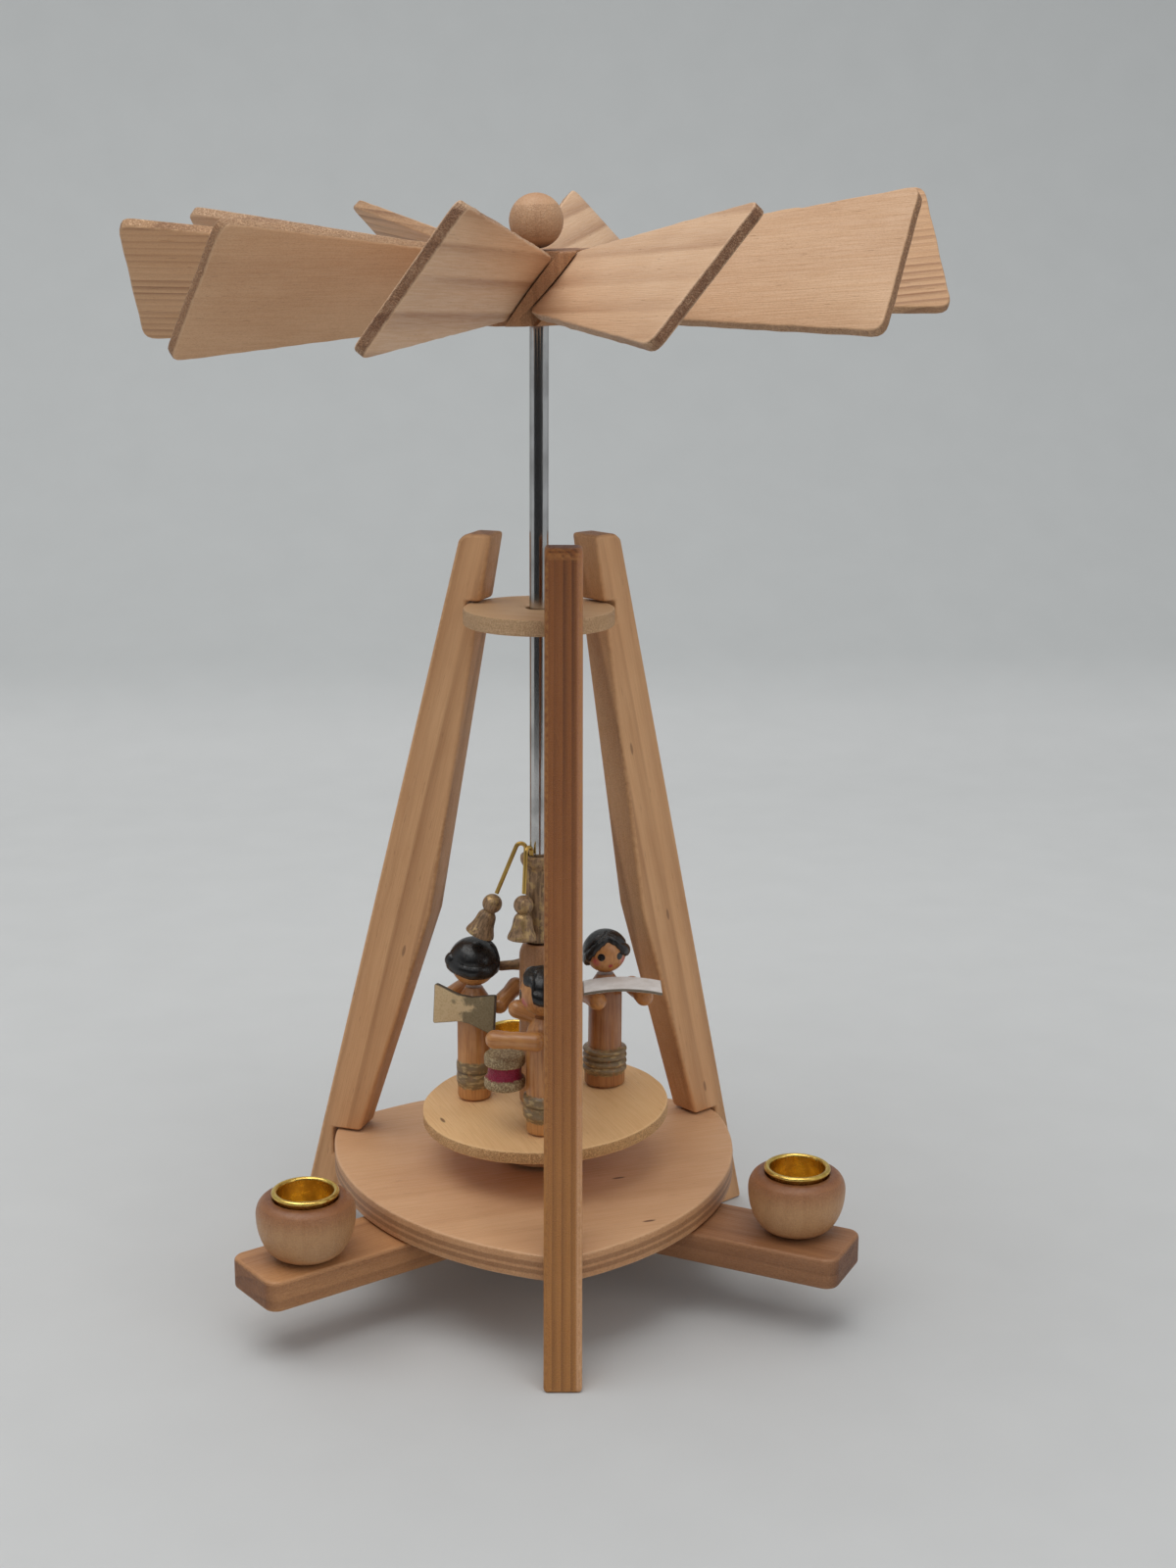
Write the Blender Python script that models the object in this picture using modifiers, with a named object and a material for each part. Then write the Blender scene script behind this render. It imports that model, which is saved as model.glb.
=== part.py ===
"""Christmas pyramid: a small wooden table pyramid whose wheel, turntable and angels turn on one steel shaft.

Metres, +Z up. The origin is on the table, under the shaft. The front leg points along -Y.
"""

import math

import bmesh
import bpy
from mathutils import Matrix, Vector

# Fits
GLUE_GAP = 0.0003
RUNNING_CLEARANCE = 0.0005

# Base plate, a rounded triangle with a corner at each leg
PLATE_TOP = 0.0187
PLATE_THICKNESS = 0.0042
PLATE_CORNER_RADIUS = 0.0094
PLATE_CORNER_RISE = 0.006

# Candle bars under the plate
BAR_WIDTH = 0.013
BAR_THICKNESS = 0.005
BAR_REACH = 0.0544
BAR_CORNER_RADIUS = 0.0022
BAR_MITRE_GAP = 0.0008

# Legs
LEG_THICKNESS = 0.0058
LEG_HEIGHT = 0.1222
LEG_FOOT_REACH = 0.0446
LEG_FOOT_WIDTH = 0.0057
LEG_KINK_HEIGHT = 0.059
LEG_KINK_WIDTH = 0.0104
LEG_TOP_REACH = 0.0133
LEG_TOP_WIDTH = 0.0053
LEG_TOP_CHAMFER = 0.001
LEG_MIDLINE_REACH = 0.036
NOTCH_SPARE = 0.0005
NOTCH_WALL = 0.0022

# Bearings
DISC_DROP = 0.011
DISC_THICKNESS = 0.0026
DISC_RADIUS = 0.0119
BUSH_RADIUS = 0.0022
BUSH_HEIGHT = 0.0035
BUSH_SEAT_RADIUS = 0.0016
BUSH_SEAT_DEPTH = 0.0018

# Candle holders and brass cups
HOLDER_REACH = 0.0448
HOLDER_HEIGHT = 0.0096
HOLDER_FOOT_RADIUS = 0.0036
HOLDER_BELLY_RADIUS = 0.0077
HOLDER_BELLY_HEIGHT = 0.0070
HOLDER_LIP_WIDTH = 0.0008
CUP_BORE_RADIUS = 0.00435
CUP_WALL = 0.0004
CUP_DEPTH = 0.0034
CUP_RIM_RADIUS = 0.00525
CUP_RIM_HEIGHT = 0.0008

# Shaft, turntable and the boss under it
SHAFT_RADIUS = 0.0015
SHAFT_POINT_LENGTH = 0.003
TURNTABLE_TOP = 0.0287
TURNTABLE_THICKNESS = 0.0021
TURNTABLE_RADIUS = 0.0202
TURNTABLE_OFF_CENTRE = 0.0011
BOSS_RADIUS = 0.0060
BOSS_LIFT = 0.0008

# Centre post, bell sleeve and bells
POST_RADIUS = 0.0032
POST_HEIGHT = 0.0274
POST_SHOULDER = 0.0012
SLEEVE_RADIUS = 0.0022
SLEEVE_HEIGHT = 0.0145
SLEEVE_RIM_RADIUS = 0.003
SLEEVE_RIM_HEIGHT = 0.0012
WIRE_RADIUS = 0.00035
WIRE_ROOT_REACH = 0.0021
WIRE_LOOP_RADIUS = 0.0008
WIRE_RISE = 0.0006
BELL_BALL_RADIUS = 0.0016
BELL_NECK_RADIUS = 0.0009
BELL_SHOULDER_RADIUS = 0.0015
BELL_MOUTH_RADIUS = 0.0024
BELL_BODY_HEIGHT = 0.0044
# Each bell's number, azimuth, lean from upright and length of straight wire
BELLS = (
    (1, math.radians(172), math.radians(22), 0.0085),
    (2, math.radians(230), math.radians(4.5), 0.0066),
    (3, math.radians(45), math.radians(4.5), 0.0075),
)

# Wheel and turntable sit this much out of square on the shaft, low towards this azimuth
LEAN = math.radians(2.8)
LEAN_AZIMUTH = math.radians(200)

# Wheel
HUB_RISE = 0.0433
HUB_HEIGHT = 0.0106
HUB_RADIUS = 0.0092
SLOT_DEPTH = 0.0024
BLADE_REACH = 0.0605
BLADE_THICKNESS = 0.0018
BLADE_ROOT_CHORD = 0.0115
BLADE_TIP_CHORD = 0.0238
BLADE_CORNER_RADIUS = 0.0016
BLADE_PITCH = math.radians(48)
BLADE_RISE = math.radians(3)
BLADE_PHASE = math.radians(177)
# How each hand-set blade sits off its even place: degrees of turn, pitch and rise, and extra reach
BLADE_TRIMS = (
    (-6, 1, 0, 0.0015),
    (1, 3, 0, 0.0),
    (0, 3, 1, 0.0015),
    (0, -2, 0, 0.0005),
    (-1, 4, 0, 0.0),
    (0, 0, 0, 0.0005),
    (-4, -6, -2, 0.0),
    (2, 1, 1, 0.0),
    (3, 0, 1, 0.0),
    (2, 1, 1, 0.0005),
)
BALL_RADIUS = 0.0041

# Angels, and how far each stands from the axis
TRUMPETER_RING = 0.0112
DRUMMER_RING = 0.0120
SINGER_RING = 0.0132
BODY_RADIUS = 0.0028
BODY_HEIGHT = 0.0190
HEM_RADII = {"trumpeter": 0.0030, "drummer": 0.0033, "singer": 0.0037}
FOOT_RADII = {"trumpeter": 0.0028, "drummer": 0.0028, "singer": 0.0034}
HEM_BEAD_HEIGHTS = {"trumpeter": 0.0021, "drummer": 0.0021, "singer": 0.0011}
HEM_BOTTOM = 0.0021
HEM_TOP = 0.0064
NECK_RADIUS = 0.0014
CHEST_HEIGHT = 0.0154
HEAD_RADII = {"trumpeter": 0.0038, "drummer": 0.0038, "singer": 0.0034}
HAIR_THICKNESS = 0.0004
HAIRLINE_TILT = math.radians(28)
HAIRLINE_LIFT = 0.0004
BUN_RADIUS = 0.0014
BUN_LIFT = math.radians(12)
ARM_RADIUS = 0.0015
ARM_HEIGHT = 0.0168
WING_SPAN = 0.011
WING_TIP_HEIGHT = 0.007
WING_WAIST_HEIGHT = 0.0046
WING_WAIST_WIDTH = 0.0022
WING_THICKNESS = 0.0008
WING_HEIGHT = 0.0165
WING_ROLL = math.radians(3)
DRUM_RADIUS = 0.0033
DRUM_WAIST_RADIUS = 0.0027
DRUM_RIM_HEIGHT = 0.0018
DRUM_HEIGHT = 0.0057
TRUMPET_LENGTH = 0.0062
TRUMPET_TUBE_RADIUS = 0.0008
TRUMPET_MOUTH_RADIUS = 0.0017
SHEET_WIDTH = 0.0128
SHEET_DEPTH = 0.0062
SHEET_THICKNESS = 0.0005
SHEET_SAG = 0.0007
SHEET_FORWARD = 0.0066
SHEET_SIDE = -0.0010
SHEET_TURN = math.radians(-15)
# Where each angel's right and left hand are, in its own frame
HORN_HANDS = ((0.0054, 0.0046, 0.0186), (-0.0031, 0.0058, 0.0182))
DRUM_HANDS = ((0.0043, 0.0054, 0.0187), (-0.0043, 0.0068, 0.0165))
SHEET_HANDS = ((0.0031, 0.0060, 0.0167), (-0.0049, 0.0060, 0.0167))

# Facets
TURN_STEPS = 24
SMALL_TURN_STEPS = 16
ARC_STEPS = 6

# The copy in hand isn't quite even: a true one has its legs and bars at 120 degrees
LEG_AZIMUTHS = {
    "front": math.radians(-90),
    "right": math.radians(33),
    "left": math.radians(150),
}
# How far each leg is turned about its own upright line, off the plane through the axis
LEG_SKEWS = {
    "front": math.radians(-6),
    "right": math.radians(2.5),
    "left": math.radians(4),
}
BAR_AZIMUTHS = {
    "rear": math.radians(90),
    "left": math.radians(210),
    "right": math.radians(327.5),
}
HOLDER_AZIMUTHS = {
    "rear": math.radians(90),
    "left": math.radians(211),
    "right": math.radians(330),
}

for old in list(bpy.data.objects):
    bpy.data.objects.remove(old, do_unlink=True)

PARTS = bpy.data.collections.new("christmas_pyramid")
CUTTERS = bpy.data.collections.new("cutters")
bpy.context.scene.collection.children.link(PARTS)
bpy.context.scene.collection.children.link(CUTTERS)


def make_material(name, colour, roughness, metallic=0.0):
    """A plain Principled BSDF."""
    material = bpy.data.materials.new(name)
    material.use_nodes = True
    shader = material.node_tree.nodes["Principled BSDF"]
    shader.inputs["Base Color"].default_value = (*colour, 1.0)
    shader.inputs["Roughness"].default_value = roughness
    shader.inputs["Metallic"].default_value = metallic
    return material


LEG_PINE = make_material("leg_pine", (0.42, 0.22, 0.10), 0.55)
PLYWOOD = make_material("plywood", (0.56, 0.35, 0.19), 0.6)
BLADE_PINE = make_material("blade_pine", (0.62, 0.40, 0.23), 0.6)
TURNED_WOOD = make_material("turned_wood", (0.45, 0.25, 0.12), 0.45)
BRASS = make_material("brass", (0.75, 0.52, 0.12), 0.25, 1.0)
STEEL = make_material("steel", (0.60, 0.62, 0.65), 0.2, 1.0)
BRONZE_PAINT = make_material("bronze_paint", (0.22, 0.15, 0.07), 0.45, 0.4)
DOLL_WOOD = make_material("doll_wood", (0.50, 0.28, 0.14), 0.4)
BLACK_PAINT = make_material("black_paint", (0.01, 0.01, 0.012), 0.3)
WING_PAINT = make_material("wing_paint", (0.40, 0.35, 0.22), 0.5)
DRUM_RED = make_material("drum_red", (0.30, 0.02, 0.06), 0.45)
PAPER = make_material("paper", (0.75, 0.73, 0.72), 0.8)


def place(obj, material, parent=None, matrix=None):
    """Finishes a part: its material, its collection, its parent and its local matrix."""
    obj.data.materials.clear()
    obj.data.materials.append(material)
    PARTS.objects.link(obj)
    obj.parent = parent
    if matrix is not None:
        obj.matrix_local = matrix
    return obj


def empty(name, parent=None, matrix=None):
    """A named point to hang parts on."""
    obj = bpy.data.objects.new(name, None)
    obj.empty_display_size = 0.005
    PARTS.objects.link(obj)
    obj.parent = parent
    if matrix is not None:
        obj.matrix_local = matrix
    return obj


def cutter(name, bm, parent, matrix):
    """A hidden mesh that a Boolean uses, in the frame of its parent."""
    mesh = bpy.data.meshes.new(name)
    bm.to_mesh(mesh)
    bm.free()
    obj = bpy.data.objects.new(name, mesh)
    obj.hide_render = True
    obj.display_type = "WIRE"
    CUTTERS.objects.link(obj)
    obj.parent = parent
    obj.matrix_local = matrix
    return obj


def turned(name, profile, closed=False, steps=TURN_STEPS):
    """A lathe-turned solid about Z. The profile of (radius, height) pairs runs down its outer side."""
    mesh = bpy.data.meshes.new(name)
    count = len(profile)
    edges = [(i, i + 1) for i in range(count - 1)]
    if closed:
        edges.append((count - 1, 0))
    mesh.from_pydata([(radius, 0.0, height) for radius, height in profile], edges, [])
    obj = bpy.data.objects.new(name, mesh)
    screw = obj.modifiers.new("turn", "SCREW")
    screw.steps = steps
    screw.render_steps = steps
    screw.use_merge_vertices = True
    screw.merge_threshold = 0.00001
    screw.use_smooth_shade = True
    return obj


def flat(name, outlines, thickness):
    """A board of this thickness, centred on Z=0, from closed outlines; the inner ones are holes."""
    curve = bpy.data.curves.new(name, "CURVE")
    curve.dimensions = "2D"
    curve.fill_mode = "BOTH"
    curve.extrude = thickness / 2
    for outline in outlines:
        spline = curve.splines.new("POLY")
        spline.points.add(len(outline) - 1)
        for point, (x, y) in zip(spline.points, outline):
            point.co = (x, y, 0.0, 1.0)
        spline.use_cyclic_u = True
    return bpy.data.objects.new(name, curve)


def arc(centre, radius, start, end, steps=ARC_STEPS):
    """Points on a circle from one angle to another, both ends included."""
    points = []
    for i in range(steps + 1):
        angle = start + (end - start) * i / steps
        points.append((centre[0] + radius * math.cos(angle), centre[1] + radius * math.sin(angle)))
    return points


def rounded(corners):
    """A polygon of counter-clockwise corners (x, y, radius). A radius of zero leaves a corner sharp."""
    points = []
    count = len(corners)
    for i, (x, y, radius) in enumerate(corners):
        if radius == 0:
            points.append((x, y))
            continue
        here = Vector((x, y))
        before = (Vector(corners[i - 1][:2]) - here).normalized()
        after = (Vector(corners[(i + 1) % count][:2]) - here).normalized()
        half = before.angle(after) / 2
        centre = here + (before + after).normalized() * radius / math.sin(half)
        inward = math.atan2(here.y - centre.y, here.x - centre.x)
        sweep = math.pi / 2 - half
        points += arc(centre, radius, inward - sweep, inward + sweep, 4)
    return points


def ball(radius, centre=(0.0, 0.0, 0.0), segments=SMALL_TURN_STEPS, rings=10):
    """A bmesh sphere."""
    bm = bmesh.new()
    move = Matrix.Translation(centre)
    bmesh.ops.create_uvsphere(bm, u_segments=segments, v_segments=rings, radius=radius, matrix=move)
    return bm


def cut_flat(bm, point, normal):
    """Keeps the side of a closed bmesh that the normal points away from, and closes the cut."""
    geometry = bm.verts[:] + bm.edges[:] + bm.faces[:]
    result = bmesh.ops.bisect_plane(bm, geom=geometry, plane_co=point, plane_no=normal, clear_outer=True)
    rim = [item for item in result["geom_cut"] if isinstance(item, bmesh.types.BMEdge)]
    bmesh.ops.edgeloop_fill(bm, edges=rim)
    bmesh.ops.recalc_face_normals(bm, faces=bm.faces[:])


def solid(name, bm):
    """An object from a bmesh, shaded smooth but for its sharp edges."""
    mesh = bpy.data.meshes.new(name)
    bm.to_mesh(mesh)
    bm.free()
    mesh.shade_smooth()
    mesh.set_sharp_from_angle(angle=math.radians(35))
    return bpy.data.objects.new(name, mesh)


def lift(height):
    return Matrix.Translation((0.0, 0.0, height))


def spin(angle):
    return Matrix.Rotation(angle, 4, "Z")


def along(start, end):
    """A matrix at start whose Z axis points to end."""
    direction = Vector(end) - Vector(start)
    return Matrix.Translation(start) @ direction.to_track_quat("Z", "Y").to_matrix().to_4x4()


def leg_outer(height):
    """How far the outer edge of a leg is from the axis at this height."""
    return LEG_FOOT_REACH + (LEG_TOP_REACH - LEG_FOOT_REACH) * height / LEG_HEIGHT


# Values that several pieces share
PLATE_CORNER_REACH = leg_outer(PLATE_TOP) - NOTCH_WALL - NOTCH_SPARE
PLATE_SIDE_REACH = PLATE_CORNER_REACH - PLATE_CORNER_RISE
PLATE_BOTTOM = PLATE_TOP - PLATE_THICKNESS
BAR_TOP = PLATE_BOTTOM - GLUE_GAP
DISC_TOP = LEG_HEIGHT - DISC_DROP
HUB_TOP = LEG_HEIGHT + HUB_RISE
SHAFT_TIP = PLATE_TOP - BUSH_SEAT_DEPTH + GLUE_GAP
SHAFT_HOLE = SHAFT_RADIUS + GLUE_GAP
POST_BOTTOM = TURNTABLE_TOP + GLUE_GAP
SLEEVE_BOTTOM = POST_BOTTOM + POST_HEIGHT + GLUE_GAP
SLEEVE_TOP = SLEEVE_BOTTOM + SLEEVE_HEIGHT
SHAFT_TOP = HUB_TOP - GLUE_GAP
STAND_ON_EDGE = Matrix.Rotation(math.pi / 2, 4, "X")
OUT_OF_SQUARE = spin(LEAN_AZIMUTH) @ Matrix.Rotation(LEAN, 4, "Y") @ spin(-LEAN_AZIMUTH)
TABLE_FRAME = lift(TURNTABLE_TOP - TURNTABLE_THICKNESS / 2) @ OUT_OF_SQUARE
WHEEL_FRAME = lift(HUB_TOP - HUB_HEIGHT / 2) @ OUT_OF_SQUARE


def make_base_plate():
    """A triangle with three bulging sides, each running smoothly into the rounded corners beside it."""
    reach = PLATE_CORNER_REACH - PLATE_CORNER_RADIUS
    across = reach**2 + PLATE_SIDE_REACH**2 - reach * PLATE_SIDE_REACH - PLATE_CORNER_RADIUS**2
    side_radius = across / (2 * (PLATE_SIDE_REACH - PLATE_CORNER_RADIUS) - reach)
    behind = PLATE_SIDE_REACH - side_radius
    turn = math.atan2(-behind * math.sin(math.pi / 3), reach - behind * math.cos(math.pi / 3))
    outline = []
    for third in range(3):
        azimuth = LEG_AZIMUTHS["front"] + third * 2 * math.pi / 3
        centre = (reach * math.cos(azimuth), reach * math.sin(azimuth))
        outline += arc(centre, PLATE_CORNER_RADIUS, azimuth - turn, azimuth + turn, 6)
        middle = azimuth + math.pi / 3
        centre = (behind * math.cos(middle), behind * math.sin(middle))
        half = math.pi / 3 - turn
        outline += arc(centre, side_radius, middle - half, middle + half, 10)[1:-1]
    hole = arc((0.0, 0.0), BUSH_RADIUS + GLUE_GAP, 0.0, 2 * math.pi, TURN_STEPS)[:-1]
    plate = flat("base_plate", [outline, hole], PLATE_THICKNESS)
    place(plate, PLYWOOD, matrix=lift(PLATE_TOP - PLATE_THICKNESS / 2))


def make_candle_bar(side, azimuth):
    half = BAR_WIDTH / 2
    root = (half + BAR_MITRE_GAP) / math.tan(math.pi / 3)
    corners = [
        (root, -half, 0),
        (BAR_REACH, -half, BAR_CORNER_RADIUS),
        (BAR_REACH, half, BAR_CORNER_RADIUS),
        (root, half, 0),
    ]
    bar = flat(f"candle_bar_{side}", [rounded(corners)], BAR_THICKNESS)
    place(bar, LEG_PINE, matrix=spin(azimuth) @ lift(BAR_TOP - BAR_THICKNESS / 2))


def leg_inner(height):
    """How far the kinked inner edge of a leg is from the axis at this height."""
    kink = leg_outer(LEG_KINK_HEIGHT) - LEG_KINK_WIDTH
    if height < LEG_KINK_HEIGHT:
        foot = LEG_FOOT_REACH - LEG_FOOT_WIDTH
        return foot + (kink - foot) * height / LEG_KINK_HEIGHT
    top = LEG_TOP_REACH - LEG_TOP_WIDTH
    return kink + (top - kink) * (height - LEG_KINK_HEIGHT) / (LEG_HEIGHT - LEG_KINK_HEIGHT)


def notch(top, thickness, reach):
    """The four outline points, going down, of a slot in the inner edge for a board of this thickness."""
    upper = top + GLUE_GAP
    lower = top - thickness - GLUE_GAP
    depth = reach + NOTCH_SPARE
    return [(leg_inner(upper), upper), (depth, upper), (depth, lower), (leg_inner(lower), lower)]


def make_leg(side, azimuth):
    outline = [(leg_outer(0.0), 0.0), (leg_outer(LEG_HEIGHT - LEG_TOP_CHAMFER), LEG_HEIGHT - LEG_TOP_CHAMFER)]
    outline.append((LEG_TOP_REACH - LEG_TOP_CHAMFER, LEG_HEIGHT))
    outline.append((leg_inner(LEG_HEIGHT), LEG_HEIGHT))
    outline += notch(DISC_TOP, DISC_THICKNESS, DISC_RADIUS)
    outline.append((leg_inner(LEG_KINK_HEIGHT), LEG_KINK_HEIGHT))
    outline += notch(PLATE_TOP, PLATE_THICKNESS, PLATE_CORNER_REACH)
    outline.append((leg_inner(0.0), 0.0))
    leg = flat(f"leg_{side}", [outline], LEG_THICKNESS)
    midline = Vector((LEG_MIDLINE_REACH, 0.0, 0.0))
    skew = Matrix.Translation(midline) @ spin(LEG_SKEWS[side]) @ Matrix.Translation(-midline)
    place(leg, LEG_PINE, matrix=spin(azimuth) @ skew @ STAND_ON_EDGE)


def make_bearings():
    bore = SHAFT_RADIUS + RUNNING_CLEARANCE
    ring = [(DISC_RADIUS, DISC_THICKNESS), (DISC_RADIUS, 0.0), (bore, 0.0), (bore, DISC_THICKNESS)]
    disc = turned("bearing_disc", ring, closed=True, steps=32)
    place(disc, PLYWOOD, matrix=lift(DISC_TOP - DISC_THICKNESS))
    profile = [
        (0.0, BUSH_HEIGHT - BUSH_SEAT_DEPTH),
        (BUSH_SEAT_RADIUS, BUSH_HEIGHT),
        (BUSH_RADIUS, BUSH_HEIGHT),
        (BUSH_RADIUS, 0.0),
        (0.0, 0.0),
    ]
    bush = turned("pivot_bush", profile, steps=SMALL_TURN_STEPS)
    place(bush, BRASS, matrix=lift(PLATE_TOP - BUSH_HEIGHT))


def make_candle_holder(side, azimuth):
    """An apple-shaped holder bored for its brass cup, and the cup with its rolled rim."""
    spot = Matrix.Translation((HOLDER_REACH, 0.0, BAR_TOP + GLUE_GAP))
    seat = empty(f"candle_seat_{side}", matrix=spin(azimuth) @ spot)
    bore = CUP_BORE_RADIUS + CUP_WALL + GLUE_GAP
    floor = HOLDER_HEIGHT - CUP_DEPTH - CUP_WALL
    lip = bore + HOLDER_LIP_WIDTH
    profile = [(0.0, floor), (bore, floor), (bore, HOLDER_HEIGHT)]
    for radius, height in arc((0.0, 0.0), 1.0, math.pi / 2, 0.0):
        shoulder = HOLDER_HEIGHT - HOLDER_BELLY_HEIGHT
        profile.append((lip + (HOLDER_BELLY_RADIUS - lip) * radius, HOLDER_BELLY_HEIGHT + shoulder * height))
    for radius, height in arc((0.0, 0.0), 1.0, 0.0, -math.pi / 2)[1:]:
        spread = HOLDER_BELLY_RADIUS - HOLDER_FOOT_RADIUS
        profile.append((HOLDER_FOOT_RADIUS + spread * radius, HOLDER_BELLY_HEIGHT * (1 + height)))
    profile.append((0.0, 0.0))
    holder = turned(f"candle_holder_{side}", profile)
    place(holder, TURNED_WOOD, seat)
    rim = HOLDER_HEIGHT + GLUE_GAP
    wall = CUP_BORE_RADIUS + CUP_WALL
    floor = rim - CUP_DEPTH
    profile = [(0.0, floor), (CUP_BORE_RADIUS, floor), (CUP_BORE_RADIUS, rim + CUP_RIM_HEIGHT / 2)]
    roll = (CUP_RIM_RADIUS - CUP_BORE_RADIUS) / 2
    for across, up in arc((0.0, 0.0), 1.0, 3 * math.pi / 4, 0.0, 4):
        profile.append((CUP_BORE_RADIUS + roll + roll * across, rim + CUP_RIM_HEIGHT * (1 + up) / 2))
    profile += [(CUP_RIM_RADIUS - CUP_WALL / 2, rim), (wall, rim)]
    profile += [(wall, floor - CUP_WALL), (0.0, floor - CUP_WALL)]
    cup = turned(f"candle_cup_{side}", profile)
    place(cup, BRASS, seat)


def make_shaft(axis):
    profile = [
        (0.0, SHAFT_TOP),
        (SHAFT_RADIUS, SHAFT_TOP),
        (SHAFT_RADIUS, SHAFT_TIP + SHAFT_POINT_LENGTH),
        (0.0, SHAFT_TIP),
    ]
    shaft = turned("shaft", profile, steps=SMALL_TURN_STEPS)
    place(shaft, STEEL, axis)


def make_turntable(table):
    """A disc whose hole was drilled a little to one side of its middle."""
    edge = arc((TURNTABLE_OFF_CENTRE, 0.0), TURNTABLE_RADIUS, 0.0, 2 * math.pi, 40)[:-1]
    hole = arc((0.0, 0.0), SHAFT_HOLE, 0.0, 2 * math.pi, SMALL_TURN_STEPS)[:-1]
    place(flat("turntable", [edge, hole], TURNTABLE_THICKNESS), PLYWOOD, table)


def make_boss(axis):
    """A turned collar on the shaft that the turntable rests on, just clear of the base plate."""
    bottom = PLATE_TOP + BOSS_LIFT
    top = TURNTABLE_TOP - TURNTABLE_THICKNESS - BOSS_RADIUS * math.sin(LEAN) - GLUE_GAP
    ring = [(BOSS_RADIUS, top), (BOSS_RADIUS, bottom), (SHAFT_HOLE, bottom), (SHAFT_HOLE, top)]
    place(turned("turntable_boss", ring, closed=True), TURNED_WOOD, axis)


def make_post(axis):
    """The wooden post on the turntable and the bronze sleeve on top of it."""
    ring = [
        (POST_RADIUS - POST_SHOULDER, POST_HEIGHT),
        (POST_RADIUS, POST_HEIGHT - POST_SHOULDER),
        (POST_RADIUS, 0.0),
        (SHAFT_HOLE, 0.0),
        (SHAFT_HOLE, POST_HEIGHT),
    ]
    post = turned("centre_post", ring, closed=True)
    place(post, TURNED_WOOD, axis, lift(POST_BOTTOM))
    rim = SLEEVE_HEIGHT - SLEEVE_RIM_HEIGHT
    ring = [
        (SLEEVE_RIM_RADIUS, SLEEVE_HEIGHT),
        (SLEEVE_RIM_RADIUS, rim),
        (SLEEVE_RADIUS, rim - SLEEVE_RIM_HEIGHT),
        (SLEEVE_RADIUS, 0.0),
        (SHAFT_HOLE, 0.0),
        (SHAFT_HOLE, SLEEVE_HEIGHT),
    ]
    sleeve = turned("bell_sleeve", ring, closed=True)
    place(sleeve, BRONZE_PAINT, axis, lift(SLEEVE_BOTTOM))


def make_bell(axis, number, azimuth, swing, drop):
    """A stiff wire bent over the sleeve's rim, and the bell at its end, which leans by the swing."""
    turn = spin(azimuth)
    root = SLEEVE_TOP + GLUE_GAP
    loop = (WIRE_ROOT_REACH + WIRE_LOOP_RADIUS, root + WIRE_RISE)
    route = [(WIRE_ROOT_REACH, root)] + arc(loop, WIRE_LOOP_RADIUS, math.pi, swing)
    hang = Vector((math.sin(swing), 0.0, -math.cos(swing)))
    end = Vector((route[-1][0], 0.0, route[-1][1])) + hang * drop
    route.append((end.x, end.z))
    curve = bpy.data.curves.new(f"bell_wire_{number}", "CURVE")
    curve.dimensions = "3D"
    curve.bevel_depth = WIRE_RADIUS
    curve.bevel_resolution = 2
    curve.use_fill_caps = True
    spline = curve.splines.new("POLY")
    spline.points.add(len(route) - 1)
    for point, (reach, height) in zip(spline.points, route):
        point.co = (reach, 0.0, height, 1.0)
    place(bpy.data.objects.new(curve.name, curve), BRASS, axis, turn)
    top = end + hang * GLUE_GAP
    ball_end = math.asin(BELL_NECK_RADIUS / BELL_BALL_RADIUS) - math.pi / 2
    knob = arc((0.0, -BELL_BALL_RADIUS), BELL_BALL_RADIUS, math.pi / 2, ball_end, 8)
    neck = knob[-1][1]
    flare = BELL_MOUTH_RADIUS - BELL_SHOULDER_RADIUS
    profile = [(0.0, 0.0)] + knob[1:]
    profile += [
        (BELL_SHOULDER_RADIUS, neck - 0.15 * BELL_BODY_HEIGHT),
        (BELL_SHOULDER_RADIUS + 0.25 * flare, neck - 0.55 * BELL_BODY_HEIGHT),
        (BELL_MOUTH_RADIUS, neck - 0.88 * BELL_BODY_HEIGHT),
        (BELL_MOUTH_RADIUS, neck - BELL_BODY_HEIGHT),
        (0.0, neck - BELL_BODY_HEIGHT),
    ]
    bell = turned(f"bell_{number}", profile, steps=SMALL_TURN_STEPS)
    place(bell, BRONZE_PAINT, axis, turn @ along(top, top - hang))


def blade_frame(number, turn, pitch, rise):
    """A blade's own axes from the hub's middle: X out along it, Y up its pitched chord."""
    azimuth = BLADE_PHASE + 2 * math.pi * number / len(BLADE_TRIMS) + math.radians(turn)
    up = Matrix.Rotation(-BLADE_RISE - math.radians(rise), 4, "Y")
    return spin(azimuth) @ up @ Matrix.Rotation(BLADE_PITCH + math.radians(pitch), 4, "X")


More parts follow.
